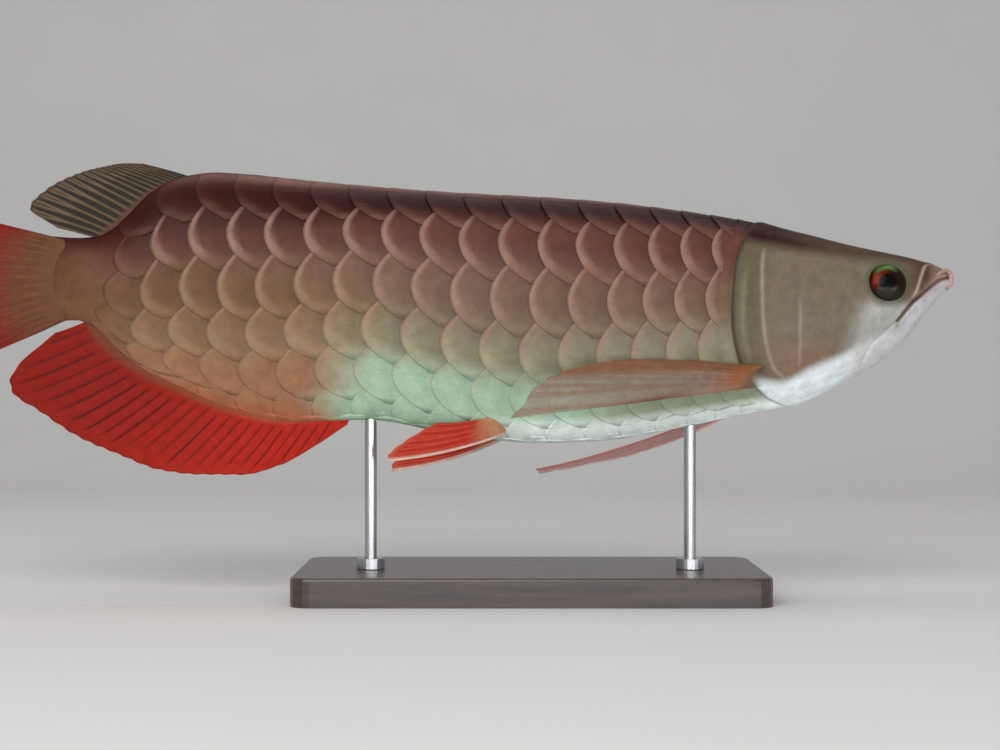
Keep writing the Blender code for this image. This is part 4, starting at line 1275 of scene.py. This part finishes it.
    @staticmethod
    def patches(seats: dict[str, Array], u: Array, v: Array) -> Array:
        """Each scale's patch of the bake's map, at its root's place on the flat lay of the skin:
        distance along the body by rows, as large as clears the next ones. Its upper and its under
        face share the patch.

        Args:
            seats: the scales' places.
            u: shares of the way from root to edge.
            v: shares across, from -1 to 1.

        Returns:
            A place for every point of both faces.
        """
        margin, long_share, half_width = 6, 0.8, 0.028
        span = FORM.NOSE - FORM.END
        row0, length = seats["row"][:, None, None], seats["length"][:, None, None]
        across = (row0 + LATTICE.rows + 0.5) / (2 * LATTICE.rows + 1.2)
        centre = (seats["x"][:, None, None] - FORM.END + margin) / (span + 2 * margin)
        one = np.stack([centre + (u - 0.5) * long_share * length / span, across + v * half_width], axis=-1)
        return np.clip(np.stack([one, one], axis=1).reshape(-1, 2), 0, 1)


# Fins

@dataclass(frozen=True)
class FinColours:
    """A fin's colours: its rays, the membrane between them, its root, and its rim."""

    ray: Colour
    web: Colour
    root: Colour
    rim: Colour
    lead: Colour | None = None
    joint: Colour | None = None
    gap: float = 0.0
    rear_shade: float = 0.0


@dataclass
class RayedFin:
    """A fin: rays run from a base curve to a curve of tips and fork twice on the way; they are
    ridges on a thin membrane that waves a little and ends in a faintly scalloped rim."""

    name: str
    slot: str
    base: Points
    tips: Points
    rays: int
    root_thick: float
    colours: FinColours
    finish: FinSkin
    places: tuple[float, ...] | None = None
    bow: tuple[float, float, float] = (0, 0, 0)
    rim_thick: float = 0.55
    ridge: float = 0.42
    per_ray: int = 10
    steps: int = 56
    wave: float = 0.8
    waves: float = 2.2
    root_reach: float = 0.16
    clear: float = 0.0
    joints: float = 40.0
    fork: float = 0.20
    tuck: tuple[float, float, float] = (0, 0, 0)

    def grid(self) -> tuple[Array, Array]:
        """The ray number across and the share of the way out, as a grid."""
        across = np.linspace(0, self.rays - 1, (self.rays - 1) * self.per_ray + 1)
        out = np.linspace(0, 1, self.steps) ** 0.95
        return np.broadcast_arrays(across[:, None], out[None, :])

    def crest(self, ray: Array, out: Array) -> Array:
        """One on a ray and zero between rays: bells round the ray's line, which forks into two a
        third of the way out, and each half again past two thirds."""
        near = ray - np.round(ray)
        first = self.fork * step(0.35, 0.9, out)
        second = 0.42 * self.fork * step(0.68, 1.0, out)
        width = 0.17 - 0.09 * step(0.3, 0.9, out)
        lines = [first + second, first - second, -first + second, -first - second]
        total = sum(bell(near - line, width) for line in lines)
        return np.clip(total / (4 - 2.9 * step(0.35, 0.75, out)), 0, 1)

    def middle(self, ray: Array, out: Array) -> Array:
        """The middle surface: straight between base and tips, bowed at mid length, and waved."""
        part = ray[:, 0] / (self.rays - 1)
        start = along(self.base, part)[:, None]
        end = along(self.tips, part, self.places)[:, None]
        scallop = 1 - 0.012 * (0.5 - 0.5 * np.cos(2 * np.pi * ray)) * step(0.7, 1, out)
        s = (out * scallop)[..., None]
        length = np.linalg.norm(end - start, axis=-1, keepdims=True)
        corner = np.abs(2 * part[:, None, None] - 1) ** 2
        sunk = np.array(self.tuck) * np.clip(1 - s / (0.09 + 0.08 * corner), 0, 1) ** 1.5
        return start * (1 - s) + end * s + np.array(self.bow) * length * (4 * s * (1 - s)) + sunk

    def build(self) -> bpy.types.Object:
        """Thickens the middle surface by membrane and rays on both faces, and colours it."""
        ray, out = self.grid()
        middle = self.middle(ray, out)
        around, outward = np.gradient(middle, axis=0), np.gradient(middle, axis=1)
        normal = unit(np.cross(around, outward))
        part = ray / (self.rays - 1)
        ripple = self.wave * out ** 2 * np.sin(2 * np.pi * (self.waves * part + 0.35 * out))
        middle = middle + normal * ripple[..., None]
        crest = self.crest(ray, out)
        membrane = self.rim_thick + (self.root_thick - self.rim_thick) * (1 - out) ** 3
        thick = membrane * (0.62 + 0.38 * crest) + self.ridge * crest * (1 - 0.55 * out)
        thick = thick + (membrane * 0.8 - thick) * step(0.30, 0.12, out)
        thick = thick * (1 - 0.6 * np.abs(2 * part - 1) ** 6 * step(0.5, 0.0, out))
        one, two = middle + normal * thick[..., None] / 2, middle - normal * thick[..., None] / 2
        tint = self.tint(crest, out, part).reshape(-1, 3)
        shape = Shape(np.concatenate([one.reshape(-1, 3), two.reshape(-1, 3)]),
                      sheet_faces(*ray.shape), colours={"tint": np.concatenate([tint, tint])})
        clear = self.openness(crest, out, part).ravel()
        shape.values = {"ray": np.tile(crest.ravel(), 2), "out": np.tile(out.ravel() * self.joints, 2),
                        "clear": np.tile(clear, 2)}
        obj = shape.build(self.name + "_sheet")
        outwards(obj)
        wear(obj, self.finish.make())
        return settle(obj, self.slot, self.name)

    def openness(self, crest: Array, out: Array, part: Array) -> Array:
        """How much shows through: nothing at the root, little on the rays, most between them."""
        return self.clear * (1 - 0.75 * crest) * step(0.0, 0.25, out)

    def tint(self, crest: Array, out: Array, part: Array) -> Array:
        """Ray and membrane colours, the root's and rim's laid over them, and a leading edge."""
        c = self.colours
        made = mix(c.web, c.ray, crest)
        if c.gap:
            ray = part * (self.rays - 1)
            between = 0.5 - np.abs(ray - np.round(ray))
            chance = np.modf(np.abs(np.sin(12.9898 * np.floor(ray)) * 437.585))[0]
            starts = 0.06 + 0.12 * chance
            streak = step(starts, starts + 0.08, out) * step(0.98, 0.62 + 0.2 * chance, out)
            made = mix(c.ray, c.web, bell(between, c.gap) * streak * (0.55 + 0.45 * chance))
        made = mix(made, c.root, step(self.root_reach, self.root_reach * 0.35, out))
        made = mix(made, c.rim, 0.7 * step(0.93, 1.0, out))
        if c.lead is not None:
            made = mix(made, c.lead, step(0.16, 0.03, part))
        return made * (1 - c.rear_shade * step(0.1, 0.9, part))[..., None]


class NearPectoral(RayedFin):
    """The near pectoral fin: orange at its root, brown along its two long margins, and a pale
    mauve web between them that shows the belly behind, its paleness partly a painted shine."""

    def tint(self, crest: Array, out: Array, part: Array) -> Array:
        """Colours by how far a place lies from the leading edge towards the hind margin."""
        c, hind = self.colours, part + 0.35 * out
        made = mix(c.web, mix(c.web, c.ray, 0.5), crest)
        made = mix(made, c.rim, 0.9 * step(0.55, 0.80, hind))
        made = mix(made, c.lead, 0.9 * step(0.26, 0.16, hind) * step(0.25, 0.5, out))
        made = mix(made, c.root, step(0.36, 0.08, out) * step(-0.1, 0.5, part + 0.2))
        return mix(made, c.joint, step(0.20, 0.08, out))

    def openness(self, crest: Array, out: Array, part: Array) -> Array:
        """Most open in the mauve web, and a little on the brown margins."""
        web = step(0.80, 0.55, part + 0.35 * out) * step(0.12, 0.3, part + 0.35 * out)
        made = self.clear * (0.3 + 0.7 * web) * (1 - 0.4 * crest) * step(0.1, 0.45, out)
        return np.maximum(made, 0.96 * step(0.15, 0.05, out))


ANAL_TIPS = ((-99.5, 0, -55.5), (-116, 0, -66.5), (-132.5, 0, -75.5), (-152, 0, -80.5), (-172, 0, -80.5),
             (-192, 0, -78), (-212, 0, -70.5), (-232, 0, -62), (-252, 0, -49), (-267, 0, -38),
             (-268, 0, -33), (-264.5, 0, -26), (-246, 0, -9))
ANAL_PLACES = (0, 0.06, 0.13, 0.24, 0.35, 0.46, 0.57, 0.69, 0.8, 0.89, 0.92, 0.95, 1)
DORSAL_TIPS = ((-205, 0, 78.5), (-214, 0, 78.3), (-227, 0, 76.5), (-240, 0, 72), (-254, 0, 64.5),
               (-261.5, 0, 55), (-247, 0, 44.8))
DORSAL_PLACES = (0, 0.15, 0.42, 0.63, 0.8, 0.93, 1)
CAUDAL_BASE = ((-238, 0, 37), (-238, 0, 28), (-238, 0, 18), (-238, 0, 8), (-238, 0, -1))
CAUDAL_TIPS = ((-290, 0, 51), (-306, 0, 48), (-317, 0, 35), (-321, 0, 14), (-317, 0, -7), (-306, 0, -21),
               (-289, 0, -25))
PECTORAL_ROOTS = {
    Side.RIGHT: ((110, 14.5, -38), (108.5, 16.5, -34), (107, 18, -29.5)),
    Side.LEFT: ((111, 14.5, -36), (109.5, 13.5, -37), (108, 12.3, -38.2)),
}
PECTORAL_TIPS = {
    Side.RIGHT: ((-19.5, 62, -62), (-5.5, 59, -44.5), (4, 56, -39), (23, 50, -33.5), (43, 43.5, -31),
                 (72, 33.5, -29.5)),
    Side.LEFT: ((-5.5, 61, -69.5), (-3, 50, -73.5), (7, 38, -73.5), (22, 28, -71), (38, 21, -68.5),
                (56, 16, -64)),
}
PECTORAL_BOWS = {Side.RIGHT: (0, -0.06, -0.01), Side.LEFT: (0, 0.015, -0.03)}
PELVIC_ROOT = ((-15, 5, -58.5), (-20, 8.5, -55.5), (-26, 11, -52.5))
PELVIC_TIPS = ((-79, 19, -76.5), (-78, 17.5, -72.5), (-72, 15.5, -67), (-63, 13, -61), (-55, 11, -56.5))

RED = FinColours(ray=srgb(198, 40, 22), web=srgb(92, 12, 8), root=srgb(172, 92, 60), rim=srgb(180, 46, 30),
                 gap=0.10, rear_shade=0.42)
TAIL_RED = FinColours(ray=srgb(158, 40, 28), web=srgb(124, 26, 18), root=srgb(122, 78, 54),
                      rim=srgb(150, 28, 20))
SMOKE = FinColours(ray=srgb(122, 102, 80), web=srgb(44, 36, 28), root=srgb(104, 74, 52),
                   rim=srgb(84, 62, 50))
# AMBER's pale web is partly a painted shine on the membrane
AMBER = FinColours(ray=srgb(150, 106, 78), web=srgb(164, 142, 128), root=srgb(176, 96, 44),
                   rim=srgb(146, 98, 68), lead=srgb(122, 82, 56), joint=srgb(140, 112, 90))
PINK = FinColours(ray=srgb(250, 200, 196), web=srgb(248, 204, 202), root=srgb(206, 168, 152),
                  rim=srgb(250, 220, 218), lead=srgb(246, 168, 160))
CORAL = FinColours(ray=srgb(212, 78, 56), web=srgb(188, 52, 36), root=srgb(196, 142, 104),
                   rim=srgb(216, 112, 90), lead=srgb(236, 206, 192))


def midline(x_from: float, x_to: float, edge: str, sink: float) -> Points:
    """Nine points along the back's or the belly's midline, sunk by a distance in millimetres."""
    xs = np.linspace(x_from, x_to, 9)
    return tuple((float(x), 0.0, float(FORM.at(edge, x)) + sink) for x in xs)


def mirrored(points: Points, side: Side) -> Points:
    """A left side's points, or their mirror image for the right."""
    return tuple((x, y * side.value, z) for x, y, z in points)


class Fins:
    """The fish's seven fins."""

    def all(self) -> list[RayedFin]:
        """Each fin with its sizes, the unpaired ones first."""
        red, tail = FinSkin("anal_fin_skin", glow=0.35), FinSkin("tail_fin_skin", glow=0.30)
        smoke = FinSkin("dorsal_fin_skin", glow=0.30, see_through=True)
        fins = [
            RayedFin("anal_fin", "fin_red", midline(-98, -229, "belly", 3), ANAL_TIPS, 26, 2.6, RED, red,
                     ANAL_PLACES, (0, 0, -0.02), wave=1.1, waves=2.6),
            RayedFin("dorsal_fin", "fin_brown", midline(-176, -224, "back", -3), DORSAL_TIPS, 19, 2.4,
                     SMOKE, smoke, DORSAL_PLACES, (0, 0, 0.01), clear=0.14, wave=0.7),
            RayedFin("caudal_fin", "fin_red", CAUDAL_BASE, CAUDAL_TIPS, 15, 10.5, TAIL_RED, tail,
                     wave=1.4, waves=1.4, per_ray=14, root_reach=0.66, ridge=0.26),
        ]
        return fins + [self.pectoral(side) for side in Side] + [self.pelvic(side) for side in Side]

    def pectoral(self, side: Side) -> RayedFin:
        """A pectoral fin: the near one amber over a mauve web, the far one pink."""
        name = "pectoral_fin_" + side.word
        near = side is Side.RIGHT
        kind = NearPectoral if near else RayedFin
        return kind(name, "fin_amber", mirrored(PECTORAL_ROOTS[side], side),
                    mirrored(PECTORAL_TIPS[side], side), 8, 2.6, AMBER if near else PINK,
                    FinSkin(name + "_skin", glow=0.3, see_through=near), bow=PECTORAL_BOWS[side],
                    clear=0.62, per_ray=14, steps=90, wave=0.5, waves=1.2, joints=70,
                    tuck=(5.0, -8.0 * side.value, 2.0))

    def pelvic(self, side: Side) -> RayedFin:
        """A pelvic fin: coral with a pale leading edge."""
        name = "pelvic_fin_" + side.word
        return RayedFin(name, "fin_red", mirrored(PELVIC_ROOT, side), mirrored(PELVIC_TIPS, side), 6, 2.2,
                        CORAL, FinSkin(name + "_skin", glow=0.35), bow=(0, 0.03 * side.value, -0.045),
                        per_ray=14, steps=48, wave=0.3, waves=1.0, root_reach=0.4,
                        tuck=(1.5, -3.0 * side.value, 3.0))

    def build(self) -> list[bpy.types.Object]:
        """Builds every fin."""
        return [fin.build() for fin in self.all()]


# Small parts of the head

@dataclass
class Eye:
    """An eye: a flattened ball turned round its own axis, with rings of iris about the pupil."""

    side: Side
    rings: int = 60
    around: int = 72
    pupil: float = 4.2
    brown: Colour = srgb(38, 20, 13)
    rust: Colour = srgb(100, 30, 15)
    low: Colour = srgb(50, 48, 38)
    green: Colour = srgb(88, 132, 66)
    # edge: painted shade at the ball's rim next to the socket
    edge: Colour = srgb(38, 32, 26)
    black: Colour = srgb(5, 4, 5)

    def build(self) -> bpy.types.Object:
        """Rings of radius r sin a stand at the ball's depth cos a from its outer pole to its back."""
        angle = np.linspace(0, np.pi, self.rings)
        turn = np.linspace(0, 2 * np.pi, self.around, endpoint=False)
        radius = EYE.radius * np.sin(angle)
        depth = EYE.y + EYE.radius * EYE.flatness * np.cos(angle)
        x = EYE.x + radius[:, None] * np.cos(turn)
        z = EYE.z + radius[:, None] * np.sin(turn)
        y = self.side.value * (depth[:, None] + 0 * x)
        points = np.stack([x, y, z], axis=-1)[1:-1]
        poles = np.array([[EYE.x, self.side.value * (EYE.y + EYE.radius * EYE.flatness), EYE.z],
                          [EYE.x, self.side.value * (EYE.y - EYE.radius * EYE.flatness), EYE.z]])
        tint, metal = self.iris(radius[:, None] + 0 * x, turn[None, :] + 0 * x)
        rings = len(points)
        shape = Shape(np.concatenate([points.reshape(-1, 3), poles]),
                      grid_quads(rings, self.around, ring=True), end_fans(rings, self.around))
        shape.colours["tint"] = np.concatenate([tint[1:-1].reshape(-1, 3), tint[0, :1], tint[-1, :1]])
        shape.values["metal"] = np.concatenate([metal[1:-1].ravel(), metal[0, :1], metal[-1, :1]])
        node = "eye_" + self.side.word
        obj = shape.build(node + "_ball")
        outwards(obj)
        wear(obj, GlossyEye().make())
        return settle(obj, "eye", node)

    def iris(self, radius: Array, turn: Array) -> tuple[Array, Array]:
        """The eye's colours by distance from its middle and by direction: a black pupil, and an
        iris that is rust red behind and above, brown in front, dull below and green on top.

        Args:
            radius: distances from the middle.
            turn: directions, with 0 forward and a quarter turn up.

        Returns:
            Linear colours and how metallic each is.
        """
        up, back = np.sin(turn), -np.cos(turn)
        rust = step(0.05, 0.85, 0.8 * back + 0.6 * up)
        made = mix(self.brown, self.rust, rust)
        made = mix(made, self.low, 0.8 * step(-0.2, -0.9, up))
        green = step(0.55, 0.95, up + 0.1 * back) * step(5.4, 7.4, radius)
        made = mix(made, self.green, 0.85 * green)
        # painted shade round the rim of the ball
        edge = step(EYE.showing - 1.6, EYE.showing - 0.2, radius) * (1 - 0.6 * green)
        made = mix(made, self.edge, 0.8 * edge)
        made = mix(made, self.black, step(self.pupil + 0.25, self.pupil - 0.2, radius))
        metal = 0.35 * step(self.pupil, self.pupil + 0.4, radius)
        return made, metal


@dataclass
class Barbel:
    """A chin barbel: a soft tapering feeler folded up and back over the lip."""

    side: Side
    path: Points = ((198.4, 2.6, 13.6), (201.4, 3.4, 15.8), (201.2, 4.2, 19.6), (198.8, 5.6, 21.6),
                    (195.8, 7.0, 20.4), (192.4, 8.8, 17.4))
    steps: int = 48
    root: Colour = srgb(176, 146, 138)
    tip: Colour = srgb(166, 132, 120)

    def build(self) -> bpy.types.Object:
        """A tube whose radius falls from root to tip, with a swollen root and rings of wrinkles."""
        part = np.linspace(0, 1, self.steps)
        path = along(mirrored(self.path, self.side), part)
        radii = 1.35 - 0.55 * part + 0.25 * bell(part, 0.12)
        radii = radii * np.sqrt(np.clip((1.001 - part) / 0.06, 0.02, 1)) + 0.03 * np.sin(part * 90)
        shape = tube(path, radii)
        share = np.concatenate([np.repeat(part, TUBE_SIDES), [0, 1]])
        shape.colours["tint"] = mix(self.root, self.tip, share)
        node = "barbel_" + self.side.word
        obj = shape.build(node + "_feeler")
        outwards(obj)
        wear(obj, WetSkin("barbel_skin", mottle=0.08).make())
        return settle(obj, "barbel", node)


@dataclass
class Nostril:
    """The short tube of a nostril, with its opening darkened inside by painted shade."""

    side: Side
    path: Points = ((187.6, 7.4, 21.2), (189.2, 8.2, 22.3), (190.6, 9.0, 23.2))
    outer: float = 1.15
    inner: float = 0.65
    wall: int = 12
    depth: int = 8
    skin: Colour = srgb(132, 106, 90)
    # opening: painted shade down the inside of the tube
    opening: Colour = srgb(24, 18, 16)

    def build(self) -> bpy.types.Object:
        """A wall carried up the outside of the path, over its lip and down the inside."""
        up = np.linspace(0, 1, self.wall)
        part = np.concatenate([up, [1.0], up[::-1][:self.depth]])
        radii = np.concatenate([self.outer * (1.2 - 0.3 * up), [self.outer * 0.78],
                                np.full(self.depth, self.inner)])
        line = mirrored(self.path, self.side)
        path = along(line, part)
        way = unit(np.array(line[-1]) - np.array(line[0]))
        across = unit(np.cross(way, (0.0, 1.0, 0.2)))
        other = np.cross(way, across)
        angle = np.linspace(0, 2 * np.pi, TUBE_SIDES, endpoint=False)
        circle = across * np.cos(angle)[:, None] + other * np.sin(angle)[:, None]
        points = (path[:, None] + circle[None] * radii[:, None, None]).reshape(-1, 3)
        # painted shade, deeper down the inside
        deep = np.concatenate([np.zeros(self.wall), [0.2], np.linspace(0.5, 1, self.depth)])
        tint = mix(self.skin, self.opening, np.repeat(deep, TUBE_SIDES))
        shape = Shape(np.concatenate([points, path[:1], path[-1:]]),
                      grid_quads(len(part), TUBE_SIDES, ring=True), end_fans(len(part), TUBE_SIDES),
                      colours={"tint": np.concatenate([tint, tint[:1], tint[-1:]])})
        obj = shape.build("nostril_" + self.side.word)
        outwards(obj)
        wear(obj, WetSkin("nostril_skin").make())
        return settle(obj, "skin_head")


# Stand and studio

@dataclass
class Stand:
    """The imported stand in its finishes: a stained wooden base and brushed steel rods."""

    base: str = "stand_base"
    rods: tuple[str, ...] = ("stand_rod_front", "stand_rod_rear")

    def dress(self) -> None:
        """Gives the stand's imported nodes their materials."""
        wood, steel = StainedWood().make(), BrushedSteel().make()
        wear(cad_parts[self.base], wood)
        for name in self.rods:
            wear(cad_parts[name], steel)
        LOG.info("stand dressed: %s and %d rods", self.base, len(self.rods))


@dataclass
class Studio:
    """The pale sweep, the soft lights and the camera."""

    half_width: float = 3.2
    front: float = -2.6
    bend_start: float = 0.9
    bend: float = 0.8
    wall: float = 2.6
    eye_point: tuple[float, float, float] = (-0.015, -1.0, 0.110)
    lens: float = 72.0

    def sweep(self) -> None:
        """A floor that bends up into a wall: the profile runs level, a quarter circle, then up."""
        angle = np.linspace(0, np.pi / 2, 24)
        y = np.concatenate([[self.front], self.bend_start + self.bend * np.sin(angle),
                            [self.bend_start + self.bend]])
        z = np.concatenate([[0.0], self.bend * (1 - np.cos(angle)), [self.bend + self.wall]])
        x = np.linspace(-self.half_width, self.half_width, 9)
        points = np.stack(np.broadcast_arrays(x[None, :], y[:, None], z[:, None]), -1).reshape(-1, 3)
        obj = Shape(points, grid_quads(len(y), len(x))[:, ::-1]).build("studio_sweep", place=False)
        wear(obj, StudioPaper().make())

    def lamp(self, name: str, spot: tuple[float, float, float], aim: tuple[float, float, float],
             size: tuple[float, float], power: float, warmth: Colour = (1, 1, 1)) -> None:
        """A soft box of a size in metres, set at a spot and turned to its aim."""
        data = bpy.data.lights.new(name, "AREA")
        data.shape, data.size, data.size_y = "RECTANGLE", size[0], size[1]
        data.energy, data.color = power, warmth
        obj = bpy.data.objects.new(name, data)
        bpy.context.scene.collection.objects.link(obj)
        way = np.array(aim) - np.array(spot)
        flat = math.hypot(way[0], way[1])
        obj.location = spot
        obj.rotation_euler = (math.pi / 2 + math.atan2(way[2], flat), 0, math.atan2(-way[0], way[1]))

    def build(self) -> None:
        """Sets up the sweep, three soft boxes, the pale surround and the camera."""
        self.sweep()
        middle = (0.0, 0.0, 0.13)
        self.lamp("key", (-0.45, -1.25, 0.95), middle, (1.3, 1.0), 13.5)
        self.lamp("fill", (0.25, -1.05, 0.03), middle, (1.6, 0.25), 9, (0.97, 0.99, 1.0))
        self.lamp("top", (0.0, 0.30, 1.35), middle, (1.4, 0.7), 3.5)
        world = bpy.data.worlds.new("surround")
        world.use_nodes = True
        background = world.node_tree.nodes["Background"]
        background.inputs["Color"].default_value = (0.93, 0.96, 1.0, 1)
        background.inputs["Strength"].default_value = 0.35
        scene = bpy.context.scene
        scene.world = world
        scene.view_settings.view_transform = "Standard"
        data = bpy.data.cameras.new("camera")
        data.lens, data.sensor_width, data.clip_start = self.lens, 36.0, 0.01
        camera = bpy.data.objects.new("camera", data)
        camera.location = self.eye_point
        camera.rotation_euler = (math.pi / 2, 0, 0)
        scene.collection.objects.link(camera)
        scene.camera = camera
        LOG.info("studio ready")


def main() -> None:
    """Builds every sub-assembly in order, and reports each."""
    logging.basicConfig(level=logging.INFO, format="%(message)s")
    Studio().build()
    Skin().build()
    ScaleCoat().build()
    Fins().build()
    for side in Side:
        Eye(side).build()
        Barbel(side).build()
        Nostril(side).build()
    Stand().dress()


if __name__ == "__main__":
    main()
